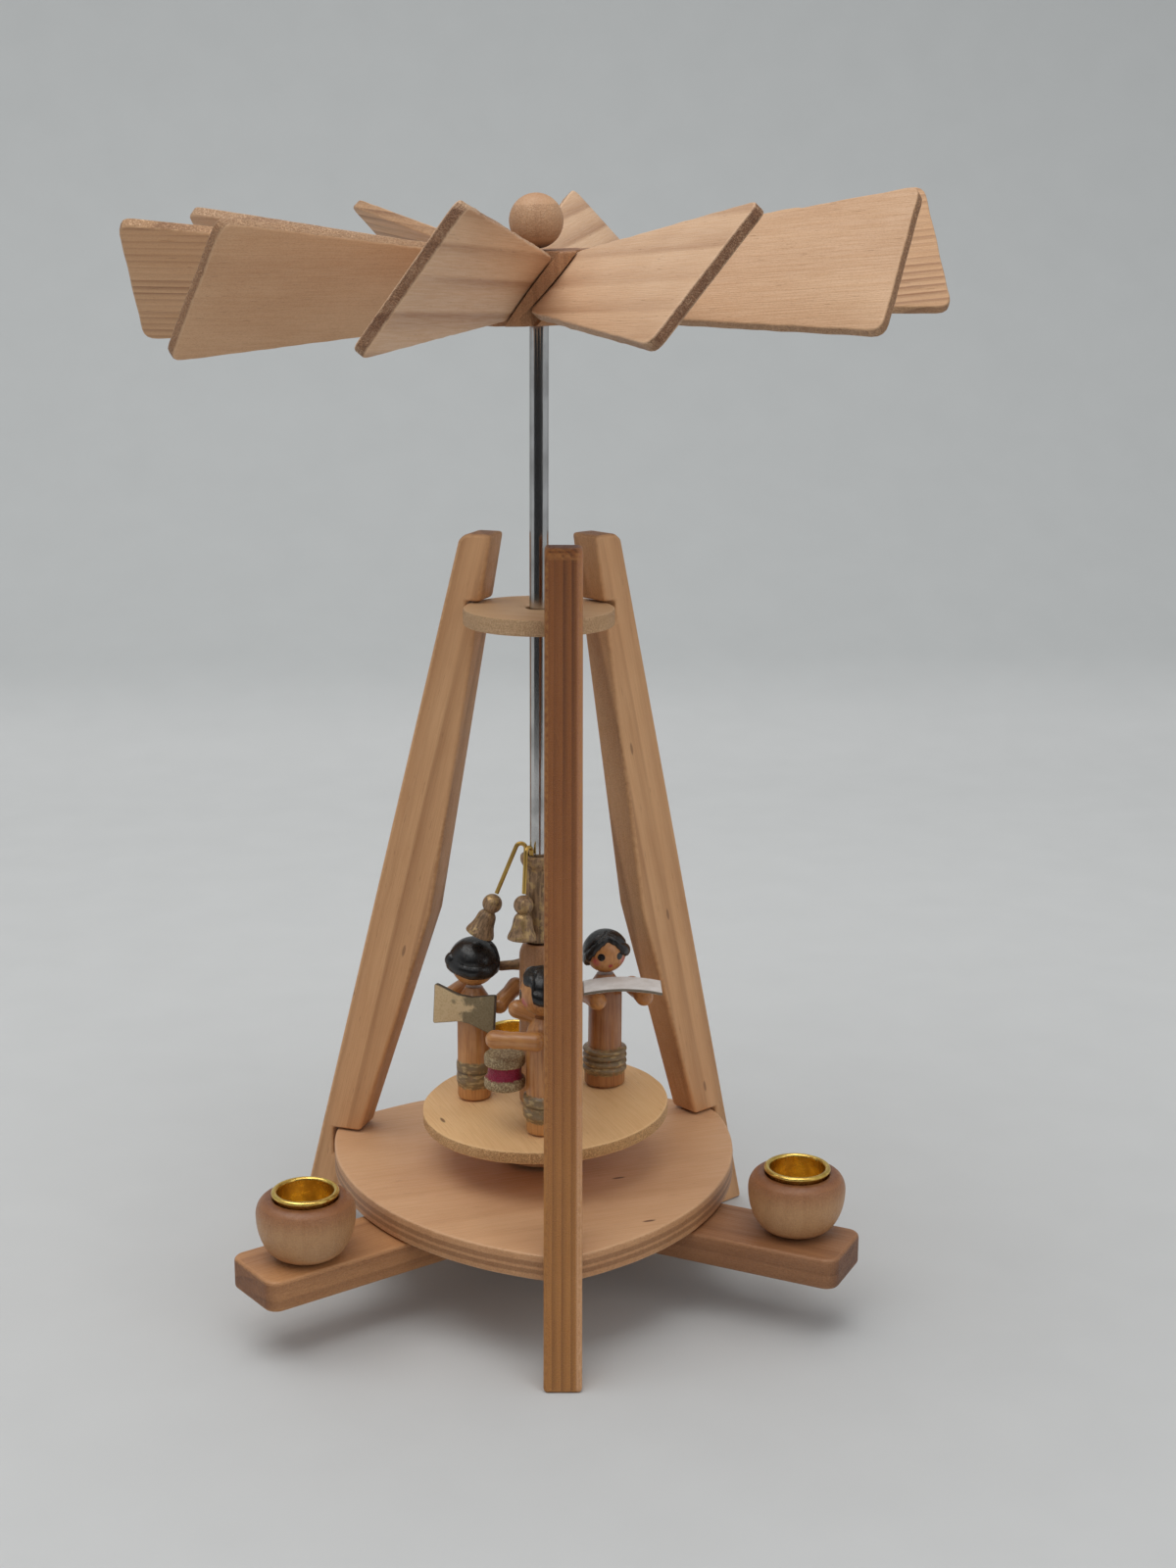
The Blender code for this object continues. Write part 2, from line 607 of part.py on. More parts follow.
def make_wheel(wheel):
    """The slotted hub, its ten blades and the ball on top."""
    bore = SHAFT_RADIUS + RUNNING_CLEARANCE
    half = HUB_HEIGHT / 2
    ring = [(HUB_RADIUS, half), (HUB_RADIUS, -half), (bore, -half), (bore, half)]
    hub = turned("rotor_hub", ring, closed=True, steps=40)
    place(hub, BLADE_PINE, wheel)
    slot_floor = HUB_RADIUS - SLOT_DEPTH
    root = slot_floor + GLUE_GAP
    for i, (turn, pitch, rise, longer) in enumerate(BLADE_TRIMS):
        matrix = blade_frame(i, turn, pitch, rise)
        length = 2 * SLOT_DEPTH
        box = Matrix.Diagonal((length, 4 * HUB_HEIGHT, BLADE_THICKNESS + 2 * GLUE_GAP, 1.0))
        middle = Matrix.Translation((slot_floor + length / 2, 0.0, 0.0))
        slot = bmesh.new()
        bmesh.ops.create_cube(slot, size=1.0, matrix=middle @ box)
        cut = hub.modifiers.new(f"slot_{i + 1:02d}", "BOOLEAN")
        cut.operation = "DIFFERENCE"
        cut.object = cutter(f"slot_cutter_{i + 1:02d}", slot, wheel, matrix)
        tip = BLADE_REACH + longer
        corners = [
            (root, -BLADE_ROOT_CHORD / 2, 0),
            (tip, -BLADE_TIP_CHORD / 2, BLADE_CORNER_RADIUS),
            (tip, BLADE_TIP_CHORD / 2, BLADE_CORNER_RADIUS),
            (root, BLADE_ROOT_CHORD / 2, 0),
        ]
        place(flat(f"blade_{i + 1:02d}", [rounded(corners)], BLADE_THICKNESS), BLADE_PINE, wheel, matrix)
    finial = solid("finial_ball", ball(BALL_RADIUS, segments=20, rings=14))
    place(finial, BLADE_PINE, wheel, lift(half + GLUE_GAP + BALL_RADIUS))


def make_body(name, stand):
    """A turned doll body with beads round its hem."""
    beads = round((HEM_TOP - HEM_BOTTOM) / HEM_BEAD_HEIGHTS[name])
    bead = (HEM_TOP - HEM_BOTTOM) / (2 * beads)
    profile = [(0.0, BODY_HEIGHT), (NECK_RADIUS, BODY_HEIGHT)]
    for across, up in arc((0.0, 0.0), 1.0, math.pi / 3, 0.0, 4):
        radius = NECK_RADIUS + (BODY_RADIUS - NECK_RADIUS) * across
        profile.append((radius, CHEST_HEIGHT + 0.8 * (BODY_HEIGHT - CHEST_HEIGHT) * up))
    profile.append((BODY_RADIUS, HEM_TOP))
    hem, foot = HEM_RADII[name], FOOT_RADII[name]
    crease = (BODY_RADIUS + hem) / 2
    for number in range(beads):
        middle = HEM_TOP - (2 * number + 1) * bead
        profile += [(hem, middle + bead / 2), (hem, middle - bead / 2), (crease, middle - bead)]
    profile[-1] = (foot, HEM_BOTTOM)
    profile += [(foot, 0.0), (0.0, 0.0)]
    body = turned(f"{name}_body", profile, steps=20)
    place(body, DOLL_WOOD, stand, lift(GLUE_GAP))


def make_head(name, neck):
    """A ball head and the hair on it, parted by a sloping plane; the hair carries a bun at the back."""
    normal = Vector((0.0, -math.sin(HAIRLINE_TILT), math.cos(HAIRLINE_TILT)))
    face = ball(HEAD_RADII[name], segments=20, rings=14)
    cut_flat(face, normal * HAIRLINE_LIFT, normal)
    place(solid(f"{name}_head", face), DOLL_WOOD, neck)
    scalp = HEAD_RADII[name] + HAIR_THICKNESS
    hair = ball(scalp, segments=20, rings=14)
    cut_flat(hair, normal * (HAIRLINE_LIFT + GLUE_GAP), -normal)
    cap = solid(f"{name}_hair", hair)
    place(cap, BLACK_PAINT, neck)
    reach = scalp - BUN_RADIUS / 2
    middle = Vector((0.0, -reach * math.cos(BUN_LIFT), reach * math.sin(BUN_LIFT)))
    bun = cap.modifiers.new("bun", "BOOLEAN")
    bun.operation = "UNION"
    bun.object = cutter(f"{name}_bun", ball(BUN_RADIUS, middle, 12, 8), neck, Matrix.Identity(4))


def make_arm(name, stand, side, hand):
    """A rounded peg from the shoulder to the middle of the hand, both in the doll's own frame."""
    sign = 1 if side == "right" else -1
    shoulder = Vector((sign * (BODY_RADIUS + GLUE_GAP + ARM_RADIUS), 0.0, ARM_HEIGHT))
    length = (Vector(hand) - shoulder).length
    profile = [(r, z + length) for r, z in arc((0.0, 0.0), ARM_RADIUS, math.pi / 2, 0.0, 4)]
    profile += arc((0.0, 0.0), ARM_RADIUS, 0.0, -math.pi / 2, 4)
    profile[0] = (0.0, profile[0][1])
    profile[-1] = (0.0, profile[-1][1])
    arm = turned(f"{name}_arm_{side}", profile, steps=12)
    place(arm, DOLL_WOOD, stand, along(shoulder, hand))


def make_wings(name, stand):
    """A bow-tie board on the doll's back."""
    waist = WING_WAIST_WIDTH / 2
    half = WING_SPAN / 2
    outline = [
        (-half, -WING_TIP_HEIGHT / 2),
        (-waist, -WING_WAIST_HEIGHT / 2),
        (waist, -WING_WAIST_HEIGHT / 2),
        (half, -WING_TIP_HEIGHT / 2),
        (half, WING_TIP_HEIGHT / 2),
        (waist, WING_WAIST_HEIGHT / 2),
        (-waist, WING_WAIST_HEIGHT / 2),
        (-half, WING_TIP_HEIGHT / 2),
    ]
    back = BODY_RADIUS + GLUE_GAP + WING_THICKNESS / 2
    wings = flat(f"{name}_wings", [outline], WING_THICKNESS)
    roll = Matrix.Rotation(WING_ROLL, 4, "Y")
    place(wings, WING_PAINT, stand, Matrix.Translation((0.0, -back, WING_HEIGHT)) @ roll @ STAND_ON_EDGE)


def make_angel(axis, name, azimuth, ring, turn_in, head_turn, hands):
    """One doll in its own frame: Y ahead of it, X to its right, Z up from the turntable."""
    facing = azimuth + math.pi - turn_in
    spot = Vector((ring * math.cos(azimuth), ring * math.sin(azimuth), TURNTABLE_THICKNESS / 2))
    stand = empty(f"{name}_stand", axis, Matrix.Translation(TABLE_FRAME @ spot) @ spin(facing))
    make_body(name, stand)
    neck = empty(f"{name}_neck", stand, lift(BODY_HEIGHT + 2 * GLUE_GAP + HEAD_RADII[name]) @ spin(head_turn))
    make_head(name, neck)
    for side, hand in zip(("right", "left"), hands):
        make_arm(name, stand, side, hand)
    return stand, neck


def make_drum(stand):
    profile = [
        (0.0, DRUM_HEIGHT),
        (DRUM_RADIUS, DRUM_HEIGHT),
        (DRUM_RADIUS, DRUM_HEIGHT - DRUM_RIM_HEIGHT),
        (DRUM_WAIST_RADIUS, DRUM_HEIGHT - DRUM_RIM_HEIGHT),
        (DRUM_WAIST_RADIUS, DRUM_RIM_HEIGHT),
        (DRUM_RADIUS, DRUM_RIM_HEIGHT),
        (DRUM_RADIUS, 0.0),
        (0.0, 0.0),
    ]
    drum = turned("drum", profile, steps=20)
    ahead = BODY_RADIUS + GLUE_GAP + DRUM_RADIUS
    place(drum, DRUM_RED, stand, Matrix.Translation((0.0, ahead, HEM_TOP + 2 * GLUE_GAP)))


def make_trumpet(neck):
    """A short flared horn at the mouth."""
    profile = [
        (0.0, TRUMPET_LENGTH),
        (TRUMPET_MOUTH_RADIUS, TRUMPET_LENGTH),
        (TRUMPET_TUBE_RADIUS + 0.35 * (TRUMPET_MOUTH_RADIUS - TRUMPET_TUBE_RADIUS), 0.72 * TRUMPET_LENGTH),
        (TRUMPET_TUBE_RADIUS, 0.4 * TRUMPET_LENGTH),
        (TRUMPET_TUBE_RADIUS, 0.0),
        (0.0, 0.0),
    ]
    trumpet = turned("trumpet", profile, steps=12)
    head = HEAD_RADII["trumpeter"]
    mouth = Vector((0.0, head + GLUE_GAP, -head / 4))
    place(trumpet, BRONZE_PAINT, neck, along(mouth, mouth + Vector((0.0, 1.0, 0.0))))


def make_sheet(stand, height):
    """A thin curved sheet that lies over the singer's hands; its ends droop."""
    bm = bmesh.new()
    bmesh.ops.create_grid(bm, x_segments=8, y_segments=1, size=0.5)
    for vert in bm.verts:
        droop = SHEET_SAG * (2 * vert.co.x) ** 2
        vert.co = (SHEET_WIDTH * vert.co.x, SHEET_DEPTH * vert.co.y, -droop)
    sheet = solid("song_sheet", bm)
    thicken = sheet.modifiers.new("thicken", "SOLIDIFY")
    thicken.thickness = SHEET_THICKNESS
    thicken.offset = 1.0
    place(sheet, PAPER, stand, Matrix.Translation((SHEET_SIDE, SHEET_FORWARD, height)) @ spin(SHEET_TURN))


make_base_plate()
for side, azimuth in BAR_AZIMUTHS.items():
    make_candle_bar(side, azimuth)
for side, azimuth in HOLDER_AZIMUTHS.items():
    make_candle_holder(side, azimuth)
for side, azimuth in LEG_AZIMUTHS.items():
    make_leg(side, azimuth)
make_bearings()

AXIS = empty("carousel_axis")
make_shaft(AXIS)
make_boss(AXIS)
make_turntable(empty("turntable_middle", AXIS, TABLE_FRAME))
make_post(AXIS)
for number, azimuth, swing, drop in BELLS:
    make_bell(AXIS, number, azimuth, swing, drop)
make_wheel(empty("wheel_middle", AXIS, WHEEL_FRAME))

stand, neck = make_angel(
    AXIS, "trumpeter", math.radians(156), TRUMPETER_RING, math.radians(6), math.radians(-52), HORN_HANDS
)
make_wings("trumpeter", stand)
make_trumpet(neck)
stand, neck = make_angel(AXIS, "drummer", math.radians(268), DRUMMER_RING, math.radians(18), 0.0, DRUM_HANDS)
make_wings("drummer", stand)
make_drum(stand)
stand, neck = make_angel(AXIS, "singer", math.radians(27), SINGER_RING, math.radians(18), 0.0, SHEET_HANDS)
make_sheet(stand, SHEET_HANDS[0][2] + ARM_RADIUS + GLUE_GAP + SHEET_SAG)
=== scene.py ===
"""Looks of the christmas pyramid: a small wooden table pyramid with a ten-blade wheel and three angels.

Metres, +Z up, in the frame of the CAD part. The front leg points along -Y.
"""

import math

import bmesh
import bpy
from mathutils import Matrix, Vector, noise


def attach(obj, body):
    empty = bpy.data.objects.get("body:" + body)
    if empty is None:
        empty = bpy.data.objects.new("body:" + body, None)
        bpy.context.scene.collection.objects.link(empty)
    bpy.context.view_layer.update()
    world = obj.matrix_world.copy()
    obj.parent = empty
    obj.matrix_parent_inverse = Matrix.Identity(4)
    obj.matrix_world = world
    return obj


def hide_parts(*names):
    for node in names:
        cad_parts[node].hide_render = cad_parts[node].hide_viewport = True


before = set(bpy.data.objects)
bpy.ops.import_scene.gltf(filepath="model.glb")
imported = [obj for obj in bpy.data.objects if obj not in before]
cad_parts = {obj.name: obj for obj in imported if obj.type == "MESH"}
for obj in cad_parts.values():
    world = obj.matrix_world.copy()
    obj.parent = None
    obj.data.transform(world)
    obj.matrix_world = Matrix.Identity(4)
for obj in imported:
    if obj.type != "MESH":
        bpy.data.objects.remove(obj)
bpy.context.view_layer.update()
# Unseeded, noise_vector follows the clock and every run would saw the edges differently
noise.seed_set(1)


# Base plate: a rounded triangle sawn from plywood, with sanded edges and its plies showing on the rim.
# The bare wood has gone a little pink. A leg is notched over each corner and the candle bars are glued below.


def shift(x, y, z):
    return Matrix.Translation((x, y, z))


def lift(height):
    return shift(0.0, 0.0, height)


def tilt(degrees, letter):
    return Matrix.Rotation(math.radians(degrees), 4, letter)


def spin(degrees):
    return tilt(degrees, "Z")


def polar(radius, degrees):
    angle = math.radians(degrees)
    return radius * math.cos(angle), radius * math.sin(angle)


def arc(centre, radius, start, end, steps):
    """Points on a circle from one angle to another in degrees, both ends included."""
    points = []
    for i in range(steps + 1):
        x, y = polar(radius, start + (end - start) * i / steps)
        points.append((centre[0] + x, centre[1] + y))
    return points


def sawn(outline, step, waver, seed):
    """A closed outline cut into short steps that waver a little, as saw and sandpaper leave it."""
    points = []
    for i, start in enumerate(outline):
        start, end = Vector(start), Vector(outline[(i + 1) % len(outline)])
        count = max(1, round((end - start).length / step))
        for k in range(count):
            point = start.lerp(end, k / count)
            point += waver * noise.noise_vector((point.x / step / 3, point.y / step / 3, seed)).xy
            points.append((point.x, point.y))
    return points


def only_verts(geometry):
    return [item for item in geometry if isinstance(item, bmesh.types.BMVert)]


def board(outline, thickness, ease, hole=()):
    """A flat board about Z=0 with eased edges, from its outline and that of a hole in it."""
    bm = bmesh.new()
    worn = bm.faces.layers.float.new("worn")
    loops = []
    for points in filter(None, (outline, hole)):
        ring = [bm.verts.new((x, y, -thickness / 2)) for x, y in points]
        loops.append(ring)
    if hole:
        edges = [bm.edges.new((ring[i - 1], ring[i])) for ring in loops for i in range(len(ring))]
        bmesh.ops.bridge_loops(bm, edges=edges)
    else:
        bm.faces.new(loops[0])
    raised = bmesh.ops.extrude_face_region(bm, geom=bm.faces[:])["geom"]
    bmesh.ops.translate(bm, vec=(0.0, 0.0, thickness), verts=only_verts(raised))
    bmesh.ops.recalc_face_normals(bm, faces=bm.faces[:])
    corners = [edge for edge in bm.edges if edge.calc_face_angle(0.0) > math.radians(35)]
    eased = bmesh.ops.bevel(
        bm, geom=corners, offset=ease, offset_type="OFFSET", segments=3, profile=0.5, affect="EDGES",
        clamp_overlap=True, material=-1,
    )
    for face in eased["faces"]:
        face[worn] = 1.0
    return bm


def to_mesh(name, bm):
    mesh = bpy.data.meshes.new(name)
    bm.to_mesh(mesh)
    bm.free()
    return mesh


def show(name, data):
    """Puts a mesh, a lamp or a camera in the scene."""
    obj = bpy.data.objects.new(name, data)
    bpy.context.scene.collection.objects.link(obj)
    return obj


def piece(name, bm, matrix, material, body, slot, *nodes, grain=Matrix()):
    """Moves a bmesh from its own frame to its place, keeping its own frame as grain coordinates."""
    bmesh.ops.recalc_face_normals(bm, faces=bm.faces[:])
    along = bm.verts.layers.float_vector.new("grain")
    for vert in bm.verts:
        vert[along] = grain @ vert.co
    rim = bm.faces.layers.float.new("rim")
    end = bm.faces.layers.float.new("end")
    for face in bm.faces:
        face[rim] = 1.0 if abs(face.normal.z) < 0.6 else 0.0
        face[end] = abs((grain.to_3x3() @ face.normal).x)
    bm.transform(matrix)
    mesh = to_mesh(name, bm)
    mesh.shade_smooth()
    mesh.set_sharp_from_angle(angle=math.radians(38))
    mesh.materials.append(material)
    obj = show(name, mesh)
    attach(obj, body)
    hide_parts(*nodes)
    return obj


def paint(red, green, blue):
    """A screen colour of 0 to 255 as a linear one."""
    return tuple(((c / 255 + 0.055) / 1.055) ** 2.4 for c in (red, green, blue))


def feed(tree, node, inputs):
    """Sets a node's inputs, or links them to the outputs of other nodes."""
    for key, value in inputs.items():
        socket = node.inputs[key]
        if isinstance(value, bpy.types.NodeSocket):
            tree.links.new(value, socket)
        else:
            socket.default_value = (*value, 1.0) if socket.type == "RGBA" else value


def add(tree, kind, inputs=(), **settings):
    """Adds a shader node, sets its properties and then feeds its inputs."""
    made = tree.nodes.new("ShaderNode" + kind)
    for key, value in settings.items():
        setattr(made, key, value)
    feed(tree, made, dict(inputs))
    return made


def calc(tree, operation, *values):
    """A Math node's result."""
    return add(tree, "Math", dict(enumerate(values)), operation=operation).outputs[0]


def times(tree, first, second):
    return calc(tree, "MULTIPLY", first, second)


def blend(tree, factor, first, second, mode="MIX"):
    """Two colours mixed by a factor."""
    mix = add(tree, "Mix", {0: factor, 6: first, 7: second}, data_type="RGBA", blend_type=mode)
    return mix.outputs[2]


def shade(tree, factor, colour, tint):
    """A colour multiplied by a tint."""
    return blend(tree, factor, colour, tint, "MULTIPLY")


def ramp(tree, value, *stops):
    """A colour ramp from (place, colour) stops; a plain number stands for a grey."""
    made = add(tree, "ValToRGB", {0: value})
    elements = made.color_ramp.elements
    while len(elements) < len(stops):
        elements.new(0.5)
    for element, (place, colour) in zip(elements, stops):
        element.position = place
        element.color = (*colour, 1.0) if isinstance(colour, tuple) else (colour, colour, colour, 1.0)
    return made.outputs[0]


def span(tree, value, low, high, to_low=0.0, to_high=1.0):
    """A value's place between two limits, eased and clamped."""
    inputs = {0: value, 1: low, 2: high, 3: to_low, 4: to_high}
    return add(tree, "MapRange", inputs, interpolation_type="SMOOTHSTEP").outputs[0]


def stretched(tree, vector, factors):
    return add(tree, "VectorMath", {0: vector, 1: factors}, operation="MULTIPLY").outputs[0]


def fractal(tree, vector, scale, detail, stretch=None):
    """Noise of 0 to 1 on a vector, which may be stretched first."""
    if stretch:
        vector = stretched(tree, vector, stretch)
    return add(tree, "TexNoise", {"Vector": vector, "Scale": scale, "Detail": detail}).outputs[0]


def own_frame(tree):
    """A piece's own coordinates in millimetres."""
    stored = add(tree, "Attribute", attribute_name="grain").outputs["Vector"]
    return add(tree, "VectorMath", {0: stored, "Scale": 1000.0}, operation="SCALE").outputs[0]


def mark(tree, name):
    """A mask that the mesh carries on its faces."""
    return add(tree, "Attribute", attribute_name=name).outputs["Fac"]


def axis(tree, vector, letter):
    return add(tree, "SeparateXYZ", {0: vector}).outputs[letter]


def new_material(name):
    """A material with only its output and Principled shader."""
    made = bpy.data.materials.new(name)
    made.use_nodes = True
    return made, made.node_tree, made.node_tree.nodes["Principled BSDF"]


def bump(tree, height, distance):
    return add(tree, "Bump", {"Height": height, "Distance": distance}).outputs[0]


def wood_figure():
    """A group for wood: rings about the grain's X axis, fibres along it, mottling, pores and a few flecks."""
    tree = bpy.data.node_groups.new("wood_figure", "ShaderNodeTree")
    tree.interface.new_socket("Place", in_out="INPUT", socket_type="NodeSocketVector")
    tree.interface.new_socket("Ring Gap", in_out="INPUT", socket_type="NodeSocketFloat")
    tree.interface.new_socket("Waver", in_out="INPUT", socket_type="NodeSocketFloat")
    entry = tree.nodes.new("NodeGroupInput")
    place = entry.outputs["Place"]
    wave = {
        "Vector": stretched(tree, place, (0.05, 1.0, 1.0)),
        "Scale": calc(tree, "DIVIDE", math.pi / 10, entry.outputs["Ring Gap"]),
        "Distortion": entry.outputs["Waver"],
        "Detail": 3.0,
        "Detail Scale": 0.35,
        "Detail Roughness": 0.55,
    }
    rings = add(tree, "TexWave", wave, wave_type="RINGS", rings_direction="X", wave_profile="SAW").outputs[1]
    late = ramp(tree, rings, (0.0, 0.0), (0.3, 0.12), (0.72, 0.7), (0.88, 1.0), (1.0, 0.1))
    faded = span(tree, fractal(tree, place, 0.28, 2.0, (0.04, 1.0, 1.0)), 0.32, 0.66, 0.25, 1.0)
    sparse = stretched(tree, place, (0.03, 0.11, 0.0))
    cells = add(tree, "TexVoronoi", {"Vector": sparse, "Scale": 1.0}, voronoi_dimensions="2D")
    chosen = span(tree, axis(tree, cells.outputs["Color"], "X"), 0.5, 0.52)
    found = {
        "Rings": times(tree, late, faded),
        "Fibre": span(tree, fractal(tree, place, 5.0, 4.0, (0.03, 1.0, 1.0)), 0.32, 0.7),
        "Mottle": span(tree, fractal(tree, place, 0.11, 3.0, (0.6, 1.0, 1.0)), 0.3, 0.7),
        "Pores": span(tree, fractal(tree, place, 3.2, 2.0, (0.1, 1.0, 1.0)), 0.66, 0.76),
        "Flecks": times(tree, span(tree, cells.outputs["Distance"], 0.04, 0.02), chosen),
    }
    leave = tree.nodes.new("NodeGroupOutput")
    for output, socket in found.items():
        tree.interface.new_socket(output, in_out="OUTPUT", socket_type="NodeSocketFloat")
        tree.links.new(socket, leave.inputs[output])
    return tree


FIGURE = wood_figure()


def wood(
    name, pale, dark, ring_gap, waver, figure, end=(0.55, 0.45, 0.38), roughness=0.5, plies=None, nap=0.3,
    flecks=0.0, handled_and_shaded=None, coat=0.0, sand=0.0, sapwood=None,
):
    """Wood on a piece's grain coordinates: rings, fibres, mottling, pores, end grain and rubbed edges.

    The figure is how strongly the rings show, the nap how furry a sawn rim is and the sand how speckled a
    sanded face is. The others are in millimetres: the plies are the middle and thickness of a plywood board
    whose rim shows its layers, the handled_and_shaded part is where along the grain the wood goes from clean
    to darkened (by handling on the holders, and as painted shade of the wheel on the front leg), and the
    sapwood is where through the board a pale strip starts and is full, and its colour.
    """
    made, tree, shader = new_material(name)
    place = own_frame(tree)
    grain = add(tree, "Group", {"Place": place, "Ring Gap": ring_gap, "Waver": waver}, node_tree=FIGURE)
    rings, fibre, mottle, pores = (grain.outputs[key] for key in ("Rings", "Fibre", "Mottle", "Pores"))
    rings = times(tree, rings, figure)
    colour = blend(tree, rings, pale, dark)
    if sapwood:
        start, full, strip = sapwood
        colour = blend(tree, span(tree, axis(tree, place, "Z"), start, full), colour, strip)
    if sand:
        grit = span(tree, fractal(tree, place, 7.0, 6.0, (0.5, 1.0, 1.0)), 0.42, 0.7, 0.0, sand)
        colour = shade(tree, grit, colour, (0.72, 0.62, 0.54))
    colour = shade(tree, times(tree, mottle, 0.45), colour, (0.86, 0.79, 0.73))
    colour = shade(tree, times(tree, fibre, 0.3), colour, (0.80, 0.73, 0.66))
    colour = shade(tree, times(tree, pores, 0.3), colour, (0.55, 0.45, 0.37))
    if flecks:
        fleck = times(tree, grain.outputs["Flecks"], flecks)
        colour = shade(tree, fleck, colour, (0.16, 0.09, 0.05))
    dust = fractal(tree, place, 1.3, 4.0)
    tufts = span(tree, fractal(tree, place, 5.0, 4.0), 0.42, 0.62)
    # Darkening along the grain: handling on the holders' shoulders, and painted shade of the wheel on the
    # front leg's upper part
    if handled_and_shaded:
        low, high = handled_and_shaded
        grip_and_shade = span(tree, calc(tree, "ADD", axis(tree, place, "X"), dust), low, high)
        colour = shade(tree, grip_and_shade, colour, (0.66, 0.52, 0.44))
    if plies:
        middle, thickness = plies
        waved = calc(tree, "ADD", axis(tree, place, "Z"), times(tree, dust, 0.3))
        level = span(tree, waved, middle - thickness / 2, middle + thickness / 2)
        core, face = (0.66, 0.57, 0.48), (1.0, 0.94, 0.86)
        below = ((0.0, face), (0.16, face), (0.21, core), (0.4, core))
        above = ((0.46, face), (0.56, face), (0.62, core), (0.82, core), (0.87, face))
        layers = ramp(tree, level, *below, *above)
        streak = fractal(tree, place, 2.0, 4.0, (1.0, 1.0, 0.25))
        layers = shade(tree, times(tree, streak, 0.5), layers, core)
        colour = blend(tree, mark(tree, "rim"), colour, shade(tree, 1.0, colour, layers))
    else:
        cut = calc(tree, "POWER", mark(tree, "end"), 3.0)
        cut = times(tree, cut, span(tree, dust, 0.2, 0.6, 0.6, 1.0))
        colour = blend(tree, cut, colour, shade(tree, 1.0, colour, end))
    sawn_edge = times(tree, times(tree, mark(tree, "rim"), tufts), nap)
    colour = shade(tree, sawn_edge, colour, (0.64, 0.53, 0.43))
    rubbed = times(tree, mark(tree, "worn"), span(tree, dust, 0.3, 0.65))
    colour = blend(tree, times(tree, rubbed, 0.5), colour, pale)
    height = calc(tree, "ADD", times(tree, rings, 0.5), times(tree, fibre, 0.6))
    height = calc(tree, "ADD", calc(tree, "SUBTRACT", height, pores), times(tree, sawn_edge, 4.0))
    sockets = {
        "Base Color": colour,
        "Roughness": span(tree, fibre, 0.0, 1.0, roughness - 0.08, roughness + 0.12),
        "Normal": bump(tree, height, 0.00004),
    }
    if coat:
        sockets.update({"Coat Weight": coat, "Coat Roughness": 0.25})
    feed(tree, shader, sockets)
    return made


PLATE_TOP = 0.0187
PLATE_THICKNESS = 0.0042
PLATE_CORNER_REACH = 0.03711
PLATE_CORNER_RADIUS = 0.0094
PLATE_SIDE_RADIUS = 0.050
PLATE_SIDE_REACH = 0.0311
BUSH_RADIUS = 0.0022
GAP = 0.0003

corner = PLATE_CORNER_REACH - PLATE_CORNER_RADIUS
behind = PLATE_SIDE_REACH - PLATE_SIDE_RADIUS
turn = math.degrees(math.atan2(-behind * math.sin(math.pi / 3), corner - behind * math.cos(math.pi / 3)))
outline = []
for azimuth in (-90, 30, 150):
    outline += arc(polar(corner, azimuth), PLATE_CORNER_RADIUS, azimuth - turn, azimuth + turn, 16)
    middle = polar(behind, azimuth + 60)
    outline += arc(middle, PLATE_SIDE_RADIUS, azimuth + turn, azimuth + 120 - turn, 44)[1:-1]
outline = sawn(outline, step=0.0012, waver=0.00006, seed=3.0)
hole = arc((0.0, 0.0), BUSH_RADIUS + GAP, 0, 360, 48)[:-1]
plate_wood = wood(
    "plate_ply", paint(218, 172, 130), paint(196, 146, 104), ring_gap=3.4, waver=6.0, figure=0.3,
    plies=(60.0, 4.2), flecks=0.9,
)
piece(
    "base_plate_ply", board(outline, PLATE_THICKNESS, ease=0.0004, hole=hole),
    lift(PLATE_TOP - PLATE_THICKNESS / 2), plate_wood, "frame", "plywood", "base_plate",
    grain=shift(0.013, -0.008, 0.060) @ spin(-12),
)


# Candle bars: three planed pine bars, mitred together at the middle and glued under the base plate.
# Their free corners are rounded and their edges sanded, so the end grain shows its rings.

BAR_WIDTH = 0.013
BAR_THICKNESS = 0.005
BAR_REACH = 0.0544
BAR_CORNER_RADIUS = 0.0022
BAR_TOP = PLATE_TOP - PLATE_THICKNESS - GAP
BAR_MITRE_GAP = 0.0008
BAR_AZIMUTHS = {"rear": 90, "left": 210, "right": 327.5}
BAR_PITHS = {"rear": (0.010, 0.018, 0.012), "left": (0.040, -0.006, 0.022), "right": (0.090, 0.004, -0.019)}

bar_pines = (
    wood(
        "dark_bar_pine", paint(166, 118, 80), paint(116, 74, 44), ring_gap=2.4, waver=2.0, figure=0.6,
        roughness=0.48, sand=0.3,
    ),
    wood(
        "pale_bar_pine", paint(192, 140, 94), paint(138, 89, 54), ring_gap=2.4, waver=2.0, figure=0.6,
        roughness=0.48, sand=0.3,
    ),
)
half = BAR_WIDTH / 2
root = (half + BAR_MITRE_GAP) / math.tan(math.pi / 3)
corner = (BAR_REACH - BAR_CORNER_RADIUS, half - BAR_CORNER_RADIUS)
outline = [(root, -half)] + arc((corner[0], -corner[1]), BAR_CORNER_RADIUS, -90, 0, 10)
outline += arc(corner, BAR_CORNER_RADIUS, 0, 90, 10) + [(root, half)]
for side, azimuth in BAR_AZIMUTHS.items():
    planed = sawn(outline, step=0.004, waver=0.00005, seed=azimuth)
    piece(
        f"{side}_candle_bar", board(planed, BAR_THICKNESS, ease=0.00055),
        spin(azimuth) @ lift(BAR_TOP - BAR_THICKNESS / 2), bar_pines[side == "left"], "frame", "leg_pine",
        f"candle_bar_{side}", grain=Matrix.Translation(BAR_PITHS[side]),
    )


# Legs: three kinked pine legs sawn from a 6 mm board, with the grain along them and their edges sanded.
# Each is notched for the base plate and for the upper bearing disc, and glued to both.

